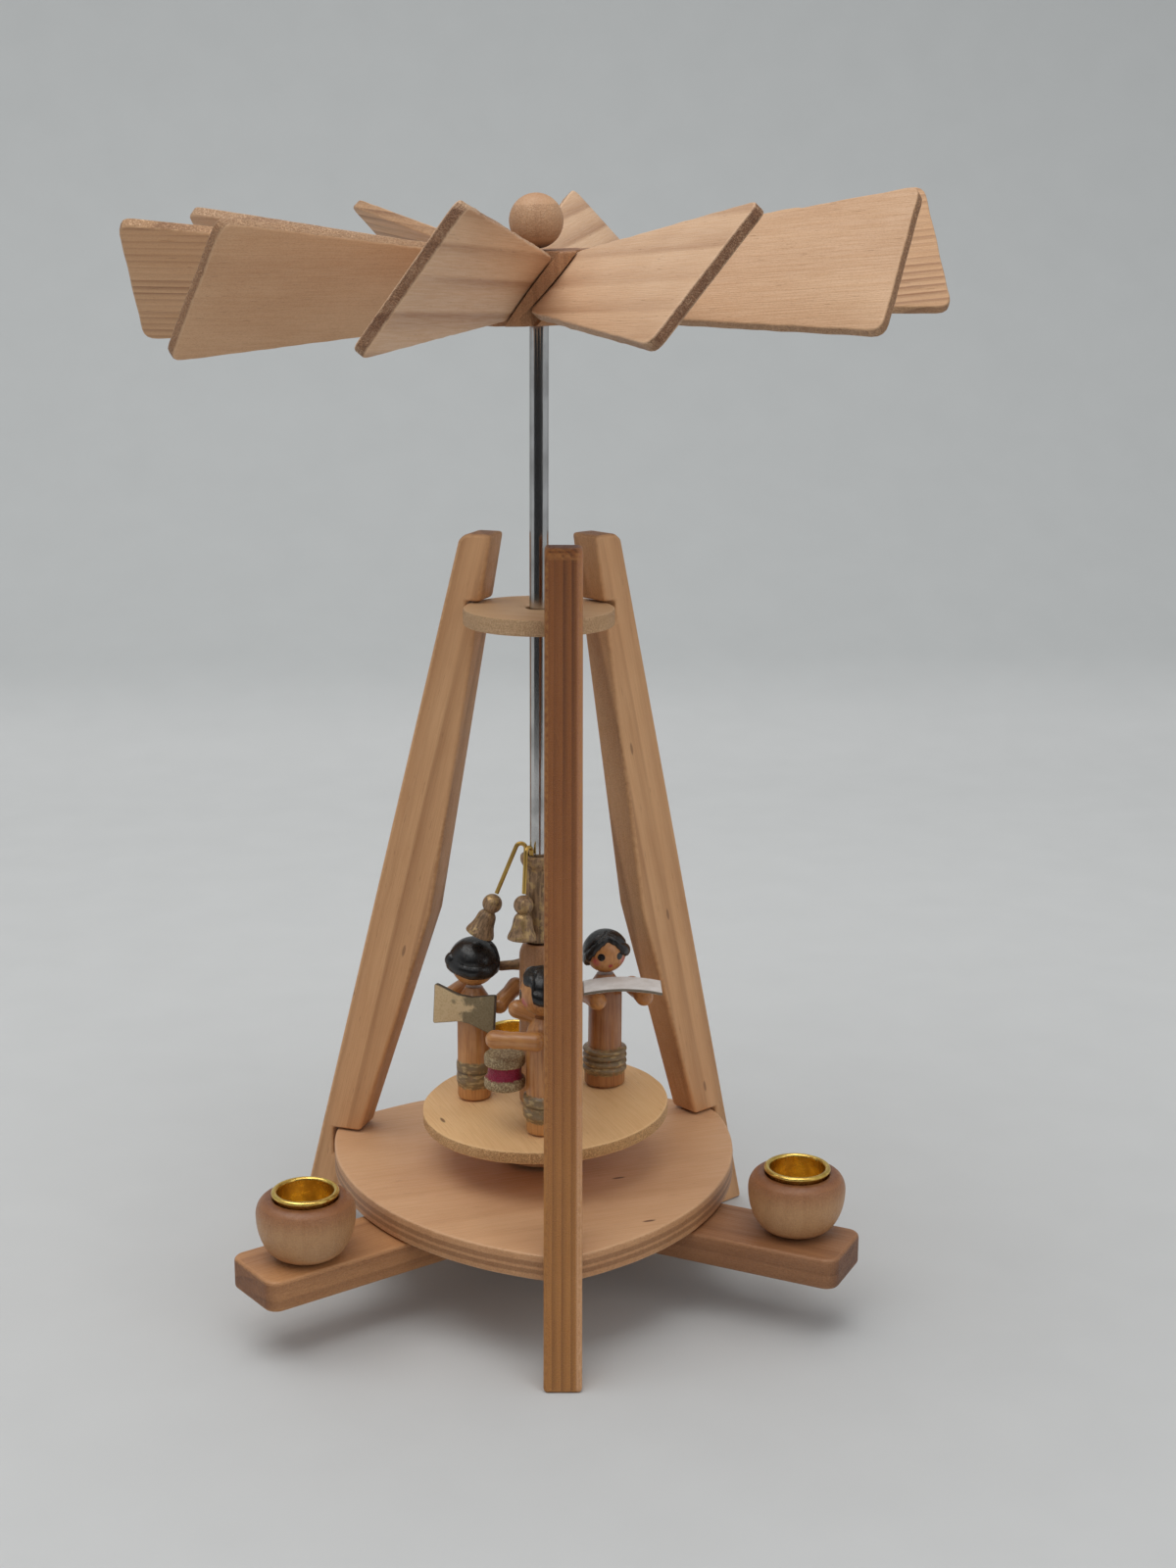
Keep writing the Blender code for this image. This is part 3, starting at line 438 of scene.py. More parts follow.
LEG_AZIMUTHS = {"front": -90, "right": 33, "left": 150}
LEG_THICKNESS = 0.0058
LEG_HEIGHT = 0.1222
LEG_FOOT_REACH = 0.0446
LEG_FOOT_WIDTH = 0.0057
LEG_KINK_HEIGHT = 0.059
LEG_KINK_WIDTH = 0.0104
LEG_TOP_REACH = 0.0133
LEG_TOP_WIDTH = 0.0053
LEG_TOP_CHAMFER = 0.001
LEG_MIDLINE_REACH = 0.036
LEG_SKEWS = {"front": -6, "right": 2.5, "left": 4}
LEG_PITHS = {"front": (0.0, 0.007, 0.026), "right": (0.080, -0.020, 0.030), "left": (0.150, -0.014, -0.034)}
NOTCH_SPARE = 0.0005
DISC_TOP = 0.1112
DISC_THICKNESS = 0.0026
DISC_RADIUS = 0.0119
STAND_ON_EDGE = tilt(90, "X")


def leg_outer(height):
    return LEG_FOOT_REACH + (LEG_TOP_REACH - LEG_FOOT_REACH) * height / LEG_HEIGHT


def leg_inner(height):
    kink = leg_outer(LEG_KINK_HEIGHT) - LEG_KINK_WIDTH
    if height < LEG_KINK_HEIGHT:
        foot = LEG_FOOT_REACH - LEG_FOOT_WIDTH
        return foot + (kink - foot) * height / LEG_KINK_HEIGHT
    top = LEG_TOP_REACH - LEG_TOP_WIDTH
    return kink + (top - kink) * (height - LEG_KINK_HEIGHT) / (LEG_HEIGHT - LEG_KINK_HEIGHT)


def notch(top, thickness, reach):
    """The four outline points, going down, of a slot in the inner edge for a board of this thickness."""
    upper, lower, depth = top + GAP, top - thickness - GAP, reach + NOTCH_SPARE
    return [(leg_inner(upper), upper), (depth, upper), (depth, lower), (leg_inner(lower), lower)]


outline = [
    (leg_outer(0.0), 0.0),
    (leg_outer(LEG_HEIGHT - LEG_TOP_CHAMFER), LEG_HEIGHT - LEG_TOP_CHAMFER),
    (LEG_TOP_REACH - LEG_TOP_CHAMFER, LEG_HEIGHT),
    (leg_inner(LEG_HEIGHT), LEG_HEIGHT),
]
outline += notch(DISC_TOP, DISC_THICKNESS, DISC_RADIUS)
outline += [(leg_inner(LEG_KINK_HEIGHT), LEG_KINK_HEIGHT)]
outline += notch(PLATE_TOP, PLATE_THICKNESS, PLATE_CORNER_REACH)
outline += [(leg_inner(0.0), 0.0)]
lengthwise = Matrix.Rotation(math.atan2(LEG_TOP_REACH - LEG_FOOT_REACH, LEG_HEIGHT) - math.pi / 2, 4, "Z")
side_pine = wood(
    "leg_pine", paint(222, 172, 124), paint(158, 106, 62), ring_gap=3.4, waver=1.2, figure=0.6,
    roughness=0.48, flecks=0.5,
)
# The front leg's wood is darker and redder than the side legs': partly a darker board, partly painted shade
# of its face turned from the top lamp. Its upper part is darkened further as painted shade of the wheel.
front_pine_and_shade = wood(
    "front_leg_pine_and_shade", paint(188, 129, 68), paint(95, 52, 22), ring_gap=0.8, waver=2.8, figure=0.75,
    roughness=0.48, handled_and_shaded=(-5, 73), sapwood=(24.2, 23.7, paint(222, 172, 130)),
)
for side, azimuth in LEG_AZIMUTHS.items():
    midline = shift(LEG_MIDLINE_REACH, 0.0, 0.0)
    piece(
        f"{side}_leg", board(outline, LEG_THICKNESS, ease=0.0006),
        spin(azimuth) @ midline @ spin(LEG_SKEWS[side]) @ midline.inverted() @ STAND_ON_EDGE,
        front_pine_and_shade if side == "front" else side_pine, "frame", "leg_pine", f"leg_{side}",
        grain=Matrix.Translation(LEG_PITHS[side]) @ lengthwise,
    )


# Candle holders: three apple-shaped cups turned from pale hardwood, glued on the bars near their ends.
# The grain stands upright in them, and handling has darkened the shoulder under the brass.


def turned(profile, steps=64, closed=False):
    """A lathe-turned solid about Z. The profile of (radius, height) pairs runs along its outer side."""
    bm = bmesh.new()
    verts = [bm.verts.new((radius, 0.0, height)) for radius, height in profile]
    edges = [bm.edges.new(pair) for pair in zip(verts, verts[1:] + verts[:1] if closed else verts[1:])]
    bmesh.ops.spin(
        bm, geom=verts + edges, cent=(0, 0, 0), axis=(0, 0, 1), angle=2 * math.pi, steps=steps, use_merge=True
    )
    bmesh.ops.remove_doubles(bm, verts=bm.verts[:], dist=1e-7)
    bmesh.ops.dissolve_degenerate(bm, dist=1e-7, edges=bm.edges[:])
    return bm


def soften(points, radius, closed=False, steps=4):
    """A line of points with its corners rounded."""
    line = [Vector(point) for point in points]
    made = [] if closed else [line[0]]
    for i in range(0 if closed else 1, len(line) if closed else len(line) - 1):
        here, before, after = line[i], line[i - 1] - line[i], line[(i + 1) % len(line)] - line[i]
        start = here + before.normalized() * min(radius, before.length / 2)
        end = here + after.normalized() * min(radius, after.length / 2)
        for k in range(steps + 1):
            t = k / steps
            made.append(start * (1 - t) ** 2 + here * 2 * t * (1 - t) + end * t * t)
    if not closed:
        made.append(line[-1])
    return [(point.x, point.y) for point in made]


HOLDER_AZIMUTHS = {"rear": 90, "left": 211, "right": 330}
HOLDER_REACH = 0.0448
HOLDER_HEIGHT = 0.0096
HOLDER_FOOT_RADIUS = 0.0036
HOLDER_BELLY_RADIUS = 0.0077
HOLDER_BELLY_HEIGHT = 0.0070
CUP_BORE_RADIUS = 0.00435
CUP_WALL = 0.0004
CUP_DEPTH = 0.0034
HOLDER_BORE = CUP_BORE_RADIUS + CUP_WALL + GAP
HOLDER_LIP = HOLDER_BORE + 0.0008
BORE_EASE = 0.0002
ON_END = tilt(90, "Y")

floor = HOLDER_HEIGHT - CUP_DEPTH - CUP_WALL
profile = [(0.0, floor), (HOLDER_BORE, floor), (HOLDER_BORE, HOLDER_HEIGHT - BORE_EASE)]
profile.append((HOLDER_BORE + BORE_EASE, HOLDER_HEIGHT))
shoulder = HOLDER_HEIGHT - HOLDER_BELLY_HEIGHT
for across, up in arc((0.0, 0.0), 1.0, 90, 0, 16):
    spread = HOLDER_BELLY_RADIUS - HOLDER_LIP
    profile.append((HOLDER_LIP + spread * across, HOLDER_BELLY_HEIGHT + shoulder * up))
for across, up in arc((0.0, 0.0), 1.0, 0, -90, 16)[1:]:
    spread = HOLDER_BELLY_RADIUS - HOLDER_FOOT_RADIUS
    profile.append((HOLDER_FOOT_RADIUS + spread * across, HOLDER_BELLY_HEIGHT * (1 + up)))
profile.append((0.0, 0.0))
holder_wood = wood(
    "holder_wood", paint(198, 152, 107), paint(162, 113, 72), ring_gap=2.6, waver=3.0, figure=0.2,
    roughness=0.4, handled_and_shaded=(6.2, 9.6), coat=0.12,
)
for side, azimuth in HOLDER_AZIMUTHS.items():
    piece(
        f"{side}_candle_holder", turned(profile, steps=72),
        spin(azimuth) @ shift(HOLDER_REACH, 0.0, BAR_TOP + GAP), holder_wood, "frame", "turned_wood",
        f"candle_holder_{side}", grain=shift(0.0, 0.004, 0.012) @ ON_END @ spin(azimuth),
    )


# Candle cups: spun brass cups with a rolled rim, pressed into the wooden holders.
# They are bright inside, with a flat floor, spinning marks and a little tarnish along the roll.

CUP_RIM_RADIUS = 0.00525
CUP_RIM_HEIGHT = 0.0008


def metal(name, bright, dull, low, high, stretch, marks, coarse=0.5):
    """Bare metal: two tones by a slow tarnish, uneven polish and fine tool marks stretched along one axis."""
    made, tree, shader = new_material(name)
    place = own_frame(tree)
    tarnish = fractal(tree, place, coarse, 5.0)
    fine = fractal(tree, place, 6.0, 3.0, stretch)
    uneven = calc(tree, "ADD", tarnish, times(tree, fine, 0.4))
    feed(tree, shader, {
        "Base Color": blend(tree, span(tree, tarnish, 0.4, 0.75), bright, dull),
        "Metallic": 1.0,
        "Roughness": span(tree, uneven, 0.4, 1.0, low, high),
        "Normal": bump(tree, fine, marks),
    })
    return made


rim = HOLDER_HEIGHT + GAP
wall = CUP_BORE_RADIUS + CUP_WALL
floor = rim - CUP_DEPTH
roll = (CUP_RIM_RADIUS - CUP_BORE_RADIUS) / 2
inside = [(0.0, floor), (CUP_BORE_RADIUS, floor), (CUP_BORE_RADIUS, rim + CUP_RIM_HEIGHT / 2)]
profile = soften(inside, radius=0.0005)
for across, up in arc((0.0, 0.0), 1.0, 160, -60, 12):
    profile.append((CUP_BORE_RADIUS + roll + roll * across, rim + CUP_RIM_HEIGHT * (1 + up) / 2))
profile += [(wall, rim), (wall, floor - CUP_WALL), (0.0, floor - CUP_WALL)]
brass = metal(
    "cup_brass", (0.88, 0.62, 0.17), (0.60, 0.37, 0.08), low=0.16, high=0.36, stretch=(0.3, 0.3, 3.0),
    marks=0.00001,
)
for side, azimuth in HOLDER_AZIMUTHS.items():
    piece(
        f"{side}_candle_cup", turned(profile, steps=72),
        spin(azimuth) @ shift(HOLDER_REACH, 0.0, BAR_TOP + GAP), brass, "frame", "brass",
        f"candle_cup_{side}", grain=shift(azimuth / 1000, 0.0, 0.0),
    )


# Bearings: a thin plywood disc held in the legs' upper notches, with a bore that guides the shaft,
# and a brass bush let into the base plate whose cone the shaft's point runs in.

BUSH_HEIGHT = 0.0035
BUSH_SEAT_RADIUS = 0.0016
BUSH_SEAT_DEPTH = 0.0018
SHAFT_RADIUS = 0.0015
RUNNING_CLEARANCE = 0.0005

bore = SHAFT_RADIUS + RUNNING_CLEARANCE
ring = [(DISC_RADIUS, DISC_THICKNESS / 2), (DISC_RADIUS, -DISC_THICKNESS / 2)]
ring += [(bore, -DISC_THICKNESS / 2), (bore, DISC_THICKNESS / 2)]
disc_wood = wood(
    "disc_board", paint(228, 192, 150), paint(204, 160, 116), ring_gap=2.2, waver=5.0, figure=0.25,
    end=(0.90, 0.82, 0.72), roughness=0.58, nap=0.6,
)
piece(
    "upper_bearing_disc", turned(soften(ring, radius=0.00035, closed=True), steps=96, closed=True),
    lift(DISC_TOP - DISC_THICKNESS / 2), disc_wood, "frame", "plywood", "bearing_disc",
    grain=shift(0.0, 0.005, 0.045) @ spin(20),
)
profile = [(0.0, BUSH_HEIGHT - BUSH_SEAT_DEPTH), (BUSH_SEAT_RADIUS, BUSH_HEIGHT), (BUSH_RADIUS, BUSH_HEIGHT)]
profile += [(BUSH_RADIUS, 0.0), (0.0, 0.0)]
piece(
    "pivot_bush_brass", turned(soften(profile, radius=0.0001), steps=48), lift(PLATE_TOP - BUSH_HEIGHT),
    brass, "frame", "brass", "pivot_bush",
)


# Shaft: a drawn steel rod with a bright plated finish and a ground point at its foot.
# It runs in the bush and the bearing disc and carries the turntable, the post and the wheel.

SHAFT_POINT = 0.003
SHAFT_TIP = PLATE_TOP - BUSH_SEAT_DEPTH + GAP
SHAFT_TOP = 0.1652

profile = [(0.0, SHAFT_TOP), (SHAFT_RADIUS, SHAFT_TOP)]
profile += [(SHAFT_RADIUS, SHAFT_TIP + SHAFT_POINT), (0.0, SHAFT_TIP)]
steel = metal(
    "shaft_steel", (0.60, 0.59, 0.58), (0.42, 0.41, 0.40), low=0.1, high=0.22, stretch=(3.0, 3.0, 0.06),
    marks=0.000004, coarse=0.2,
)
shaft_bm = turned(soften(profile, radius=0.0001), steps=48)
piece("plated_shaft", shaft_bm, Matrix(), steel, "carousel", "steel", "shaft")


# Turntable: a thin disc of pale board with a slightly furry sawn rim, glued to the shaft on a turned boss.
# It sits a little out of square, low towards the left, and its hole is a little off its middle.

LEAN, LEAN_AZIMUTH = 2.8, 200
TURNTABLE_TOP = 0.0287
TURNTABLE_THICKNESS = 0.0021
TURNTABLE_RADIUS = 0.0202
TURNTABLE_OFF_CENTRE = 0.0011
BOSS_RADIUS = 0.0060
BOSS_LIFT = 0.0008
SHAFT_HOLE = SHAFT_RADIUS + GAP
OUT_OF_SQUARE = spin(LEAN_AZIMUTH) @ tilt(LEAN, "Y") @ spin(-LEAN_AZIMUTH)
TABLE_FRAME = lift(TURNTABLE_TOP - TURNTABLE_THICKNESS / 2) @ OUT_OF_SQUARE

outline = arc((TURNTABLE_OFF_CENTRE, 0.0), TURNTABLE_RADIUS, 0, 360, 120)[:-1]
outline = sawn(outline, step=0.0010, waver=0.00008, seed=21.0)
hole = arc((0.0, 0.0), SHAFT_HOLE, 0, 360, 48)[:-1]
table_wood = wood(
    "table_board", paint(240, 195, 140), paint(215, 164, 110), ring_gap=3.0, waver=5.0, figure=0.25,
    end=(0.92, 0.85, 0.74), roughness=0.6, nap=0.8, flecks=0.8,
)
piece(
    "turntable_board", board(outline, TURNTABLE_THICKNESS, ease=0.0003, hole=hole), TABLE_FRAME, table_wood,
    "carousel", "plywood", "turntable", grain=shift(0.02, 0.01, 0.080) @ spin(75),
)
top = TURNTABLE_TOP - TURNTABLE_THICKNESS - BOSS_RADIUS * math.sin(math.radians(LEAN)) - GAP
bottom = PLATE_TOP + BOSS_LIFT
ring = [(BOSS_RADIUS, top), (BOSS_RADIUS, bottom), (SHAFT_HOLE, bottom), (SHAFT_HOLE, top)]
piece(
    "turned_boss", turned(soften(ring, radius=0.0004, closed=True), steps=64, closed=True), Matrix(),
    holder_wood, "carousel", "turned_wood", "turntable_boss", grain=shift(-0.1, 0.004, 0.009) @ ON_END,
)


# Centre post and sleeve: a short turned dowel on the turntable, and above it a tube with a rolled rim,
# brushed with bronze paint. Both are slid over the shaft and glued.

POST_RADIUS = 0.0032
POST_HEIGHT = 0.0274
POST_TOP_INSET = 0.0007
POST_TOP_SLOPE = 0.0016
SLEEVE_RADIUS = 0.0022
SLEEVE_HEIGHT = 0.0145
SLEEVE_RIM_RADIUS = 0.003
SLEEVE_RIM_HEIGHT = 0.0012
POST_BOTTOM = TURNTABLE_TOP + GAP
SLEEVE_BOTTOM = POST_BOTTOM + POST_HEIGHT + GAP


def bronze_coat(name, base, gilt):
    """Bronze paint brushed lengthwise: a thin brown coat, gilt where it lies thick, dark along the brush
    streaks and in specks of grit.
    """
    made, tree, shader = new_material(name)
    place = own_frame(tree)
    cloud = fractal(tree, place, 0.55, 2.0)
    brushed = fractal(tree, place, 3.0, 4.0, (1.0, 1.0, 0.12))
    grit = fractal(tree, place, 2.2, 4.0)
    thick = calc(tree, "ADD", cloud, times(tree, calc(tree, "SUBTRACT", grit, 0.5), 0.35))
    fleck = span(tree, thick, 0.5, 0.66)
    colour = blend(tree, span(tree, brushed, 0.35, 0.68, 0.0, 0.7), base, (0.075, 0.045, 0.022))
    colour = blend(tree, span(tree, grit, 0.56, 0.7, 0.0, 0.45), colour, (0.04, 0.026, 0.015))
    feed(tree, shader, {
        "Base Color": blend(tree, times(tree, fleck, 0.55), colour, gilt),
        "Metallic": span(tree, fleck, 0.0, 1.0, 0.15, 0.6),
        "Roughness": span(tree, fleck, 0.0, 1.0, 0.48, 0.34),
        "Normal": bump(tree, calc(tree, "ADD", grit, brushed), 0.00008),
    })
    return made


ring = [(POST_RADIUS - POST_TOP_INSET, POST_HEIGHT), (POST_RADIUS, POST_HEIGHT - POST_TOP_SLOPE)]
ring += [(POST_RADIUS, 0.0), (SHAFT_HOLE, 0.0), (SHAFT_HOLE, POST_HEIGHT)]
post_wood = wood(
    "post_wood", paint(184, 134, 92), paint(140, 94, 56), ring_gap=1.2, waver=3.0, figure=0.4,
    roughness=0.42, coat=0.2,
)
piece(
    "centre_post_dowel", turned(soften(ring, radius=0.0007, closed=True), steps=64, closed=True),
    lift(POST_BOTTOM), post_wood, "carousel", "turned_wood", "centre_post",
    grain=shift(0.0, 0.003, 0.006) @ ON_END,
)
rim = SLEEVE_HEIGHT - SLEEVE_RIM_HEIGHT
ring = [(SLEEVE_RIM_RADIUS, SLEEVE_HEIGHT), (SLEEVE_RIM_RADIUS, rim)]
ring += [(SLEEVE_RADIUS, rim - SLEEVE_RIM_HEIGHT), (SLEEVE_RADIUS, 0.0)]
ring += [(SHAFT_HOLE, 0.0), (SHAFT_HOLE, SLEEVE_HEIGHT)]
bronze = bronze_coat("bronze_coat", (0.37, 0.225, 0.12), (0.66, 0.45, 0.20))
piece(
    "bronzed_sleeve", turned(soften(ring, radius=0.0005, closed=True), steps=64, closed=True),
    lift(SLEEVE_BOTTOM), bronze, "carousel", "bronze_paint", "bell_sleeve",
)


# Bells: three small turned wooden bells in bronze paint, each on a stiff brass wire.
# The wires are hooked over the sleeve's rim and glued, so the bells stand out a little and don't swing.

WIRE_RADIUS = 0.00035
WIRE_ROOT_REACH = 0.0021
WIRE_LOOP_RADIUS = 0.0008
WIRE_RISE = 0.0006
BELL_BALL_RADIUS = 0.0016
BELL_NECK_RADIUS = 0.0009
BELL_SHOULDER_RADIUS = 0.0015
BELL_MOUTH_RADIUS = 0.0024
BELL_HEIGHT = 0.0044
BELLS = ((1, 172, 22, 0.0085), (2, 230, 4.5, 0.0066), (3, 45, 4.5, 0.0075))


def rod(route, radius, segments=12):
    """A round wire along a route of points."""
    bm = bmesh.new()
    rings = []
    for i, point in enumerate(route):
        ahead = route[min(i + 1, len(route) - 1)] - route[max(i - 1, 0)]
        turn = ahead.to_track_quat("Z", "Y").to_matrix().to_4x4()
        last = i in (0, len(route) - 1)
        ring = bmesh.ops.create_circle(
            bm, cap_ends=last, segments=segments, radius=radius, matrix=Matrix.Translation(point) @ turn
        )["verts"]
        rings.append({edge for vert in ring for edge in vert.link_edges})
    for first, second in zip(rings, rings[1:]):
        bmesh.ops.bridge_loops(bm, edges=list(first | second))
    return bm


def along(start, end):
    """A matrix at start whose Z axis points to end."""
    direction = Vector(end) - Vector(start)
    return Matrix.Translation(start) @ direction.to_track_quat("Z", "Y").to_matrix().to_4x4()


brass_wire = metal(
    "bell_wire_brass", (0.72, 0.47, 0.13), (0.50, 0.31, 0.09), low=0.25, high=0.4, stretch=(1.0, 1.0, 0.2),
    marks=0.000004, coarse=0.15,
)
for number, azimuth, swing, drop in BELLS:
    top = SLEEVE_BOTTOM + SLEEVE_HEIGHT + GAP
    loop = (WIRE_ROOT_REACH + WIRE_LOOP_RADIUS, top + WIRE_RISE)
    hang = Vector((math.sin(math.radians(swing)), 0.0, -math.cos(math.radians(swing))))
    route = [(WIRE_ROOT_REACH, top)] + arc(loop, WIRE_LOOP_RADIUS, 180, swing, 14)
    route = [Vector((reach, 0.0, height)) for reach, height in route]
    end = route[-1] + hang * drop
    route += [route[-1].lerp(end, k / 6) for k in range(1, 7)]
    piece(
        f"bent_wire_{number}", rod(route, WIRE_RADIUS), spin(azimuth), brass_wire, "carousel", "brass",
        f"bell_wire_{number}",
    )
    top = end + hang * GAP
    stop = math.degrees(math.asin(BELL_NECK_RADIUS / BELL_BALL_RADIUS)) - 90
    profile = arc((0.0, -BELL_BALL_RADIUS), BELL_BALL_RADIUS, 90, stop, 16)
    profile[0] = (0.0, 0.0)
    neck = profile[-1][1]
    flare = BELL_MOUTH_RADIUS - BELL_SHOULDER_RADIUS
    body = [
        profile[-1],
        (BELL_SHOULDER_RADIUS, neck - 0.15 * BELL_HEIGHT),
        (BELL_SHOULDER_RADIUS + 0.25 * flare, neck - 0.55 * BELL_HEIGHT),
        (BELL_MOUTH_RADIUS, neck - 0.88 * BELL_HEIGHT),
        (BELL_MOUTH_RADIUS, neck - BELL_HEIGHT),
        (0.0, neck - BELL_HEIGHT),
    ]
    profile += soften(body, radius=0.0007)[1:]
    piece(
        f"bronzed_bell_{number}", turned(profile, steps=48), spin(azimuth) @ along(top, top - hang), bronze,
        "carousel", "bronze_paint", f"bell_{number}", grain=shift(0.01 * number, 0.0, 0.0),
    )


# Wheel: a turned pine hub with ten sloping slots, a thin pine blade glued in each, and a ball on top.
# The blades have the grain along them; their tips are end grain and their edges are only lightly sanded.

HUB_TOP = 0.1655
HUB_HEIGHT = 0.0106
HUB_RADIUS = 0.0092
SLOT_DEPTH = 0.0024
BLADE_REACH = 0.0605
BLADE_THICKNESS = 0.0018
BLADE_ROOT_CHORD = 0.0115
BLADE_TIP_CHORD = 0.0238
BLADE_CORNER_RADIUS = 0.0022
BLADE_PITCH = 48
BLADE_RISE = 3
BLADE_PHASE = 177
BALL_RADIUS = 0.0041
WHEEL_FRAME = lift(HUB_TOP - HUB_HEIGHT / 2) @ OUT_OF_SQUARE
# How each hand-set blade sits off its even place: degrees of turn, pitch and rise, and extra reach
BLADE_TRIMS = (
    (-6, 1, 0, 0.0015), (1, 3, 0, 0.0), (0, 3, 1, 0.0015), (0, -2, 0, 0.0005), (-1, 4, 0, 0.0),
    (0, 0, 0, 0.0005), (-4, -6, -2, 0.0), (2, 1, 1, 0.0), (3, 0, 1, 0.0), (2, 1, 1, 0.0005),
)
# Where each blade's pith lies from its middle, and so whether it shows stripes or a plain face
BLADE_PITHS = (
    (0.060, 0.004), (0.012, 0.095), (0.034, 0.030), (-0.036, 0.026), (-0.010, 0.090),
    (0.055, 0.012), (0.040, 0.030), (-0.052, 0.010), (0.030, 0.040), (0.048, 0.022),
)


def blade_frame(number):
    """A blade's own axes from the hub's middle: X out along it, Y up its pitched chord."""
    turn, pitch, rise = BLADE_TRIMS[number][:3]
    azimuth = BLADE_PHASE + 360 / len(BLADE_TRIMS) * number + turn
    return spin(azimuth) @ tilt(-BLADE_RISE - rise, "Y") @ tilt(BLADE_PITCH + pitch, "X")


def ball(radius):
    profile = arc((0.0, 0.0), radius, 90, -90, 40)
    profile[0], profile[-1] = (0.0, radius), (0.0, -radius)
    return turned(profile)


half = HUB_HEIGHT / 2
ring = [(HUB_RADIUS, half), (HUB_RADIUS, -half), (bore, -half), (bore, half)]
blank_bm = turned(soften(ring, radius=0.0004, closed=True), steps=96, closed=True)
bmesh.ops.recalc_face_normals(blank_bm, faces=blank_bm.faces[:])
blank = show("hub_blank", to_mesh("hub_blank", blank_bm))
slot = shift(HUB_RADIUS, 0.0, 0.0)
slot @= Matrix.Diagonal((2 * SLOT_DEPTH, 4 * HUB_HEIGHT, BLADE_THICKNESS + 2 * GAP, 1.0))
cutters = []
for i in range(len(BLADE_TRIMS)):
    slot_bm = bmesh.new()
    bmesh.ops.create_cube(slot_bm, size=1.0, matrix=blade_frame(i) @ slot)
    cutters.append(show("slot_cutter", to_mesh("slot_cutter", slot_bm)))
    cut = blank.modifiers.new("slot", "BOOLEAN")
    cut.operation, cut.solver, cut.object = "DIFFERENCE", "EXACT", cutters[-1]
hub_bm = bmesh.new()
hub_bm.from_object(blank, bpy.context.evaluated_depsgraph_get())
for spent in cutters + [blank]:
    bpy.data.objects.remove(spent, do_unlink=True)
hub_wood = wood(
    "hub_pine", paint(184, 136, 96), paint(144, 98, 64), ring_gap=1.5, waver=2.5, figure=0.5,
    roughness=0.55,
)
piece(
    "slotted_hub", hub_bm, WHEEL_FRAME, hub_wood, "carousel", "blade_pine", "rotor_hub",
    grain=shift(0.0, 0.004, 0.014) @ ON_END,
)
root = HUB_RADIUS - SLOT_DEPTH + GAP
dark_tip, pale_tip = (0.52, 0.40, 0.32), (0.78, 0.67, 0.57)
blade_woods = (
    wood(
        "striped_blade_pine", paint(212, 170, 130), paint(150, 106, 72), ring_gap=1.3, waver=1.2,
        figure=0.85, end=pale_tip, roughness=0.55, nap=0.6, sand=0.3,
    ),
    wood(
        "plain_blade_pine", paint(212, 173, 136), paint(186, 143, 107), ring_gap=4.0, waver=3.0, figure=0.4,
        end=pale_tip, roughness=0.55, nap=0.8, sand=0.4,
    ),
    wood(
        "broad_blade_pine", paint(221, 184, 149), paint(174, 131, 98), ring_gap=4.2, waver=1.8, figure=0.85,
        end=dark_tip, roughness=0.55, nap=0.8, sand=0.3,
    ),
)
# Which of the three boards each blade was sawn from: close rings, a plain face or broad rings
BLADE_BOARDS = (0, 1, 2, 2, 1, 0, 1, 2, 0, 2)
for i, pith in enumerate(BLADE_PITHS):
    tip = BLADE_REACH + BLADE_TRIMS[i][3]
    outline = [(root, -BLADE_ROOT_CHORD / 2), (tip, -BLADE_TIP_CHORD / 2)]
    outline += [(tip, BLADE_TIP_CHORD / 2), (root, BLADE_ROOT_CHORD / 2)]
    outline = soften(outline, radius=BLADE_CORNER_RADIUS, closed=True)
    outline = sawn(outline, step=0.0011, waver=0.00013, seed=5.0 + 3 * i)
    piece(
        f"wheel_blade_{i + 1:02d}", board(outline, BLADE_THICKNESS, ease=0.0003),
        WHEEL_FRAME @ blade_frame(i), blade_woods[BLADE_BOARDS[i]], "carousel", "blade_pine",
        f"blade_{i + 1:02d}", grain=shift(0.1 * i, *pith),
    )
ball_wood = wood(
    "ball_pine", paint(206, 166, 130), paint(180, 137, 103), ring_gap=4.0, waver=3.0, figure=0.4,
    end=pale_tip, roughness=0.55,
)
piece(
    "turned_ball", ball(BALL_RADIUS), WHEEL_FRAME @ lift(half + GAP + BALL_RADIUS), ball_wood, "carousel",
    "blade_pine", "finial_ball", grain=shift(0.0, 0.012, 0.030) @ ON_END,
)


# Angels' bodies and arms: turned beech pegs with beads round the hem, and rounded pegs for arms, varnished.
# The hem is brushed with dull gold. Each body stands glued to the turntable, and the arms to the shoulders.

BODY_RADIUS = 0.0028
BODY_HEIGHT = 0.0190
HEM_BEADS = {"trumpeter": 2, "drummer": 2, "singer": 4}
HEM_BOTTOM = 0.0021
HEM_TOP = 0.0064
FOOT_EASE = 0.0002
NECK_RADIUS = 0.0014
CHEST_HEIGHT = 0.0154
HEAD_RADIUS = 0.0038
ARM_RADIUS = 0.0015
ARM_HEIGHT = 0.0168
# The wrist as a share of the arm, and its groove: shares of the arm's radius and heights about the wrist
WRIST = 0.62
WRIST_GROOVE = ((0.93, 0.0006), (0.88, 0.0), (0.95, -0.0012))
HEM_RADII = {"trumpeter": 0.0030, "drummer": 0.0033, "singer": 0.0037}
FOOT_RADII = {"trumpeter": 0.0028, "drummer": 0.0028, "singer": 0.0034}
HEAD_RADII = {"trumpeter": 0.0038, "drummer": 0.0038, "singer": 0.0034}
# Each angel's azimuth, distance from the axis, turn inwards and turn of the head
ANGELS = {"trumpeter": (156, 0.0112, 6, -52), "drummer": (268, 0.0120, 18, 0), "singer": (27, 0.0132, 18, 0)}
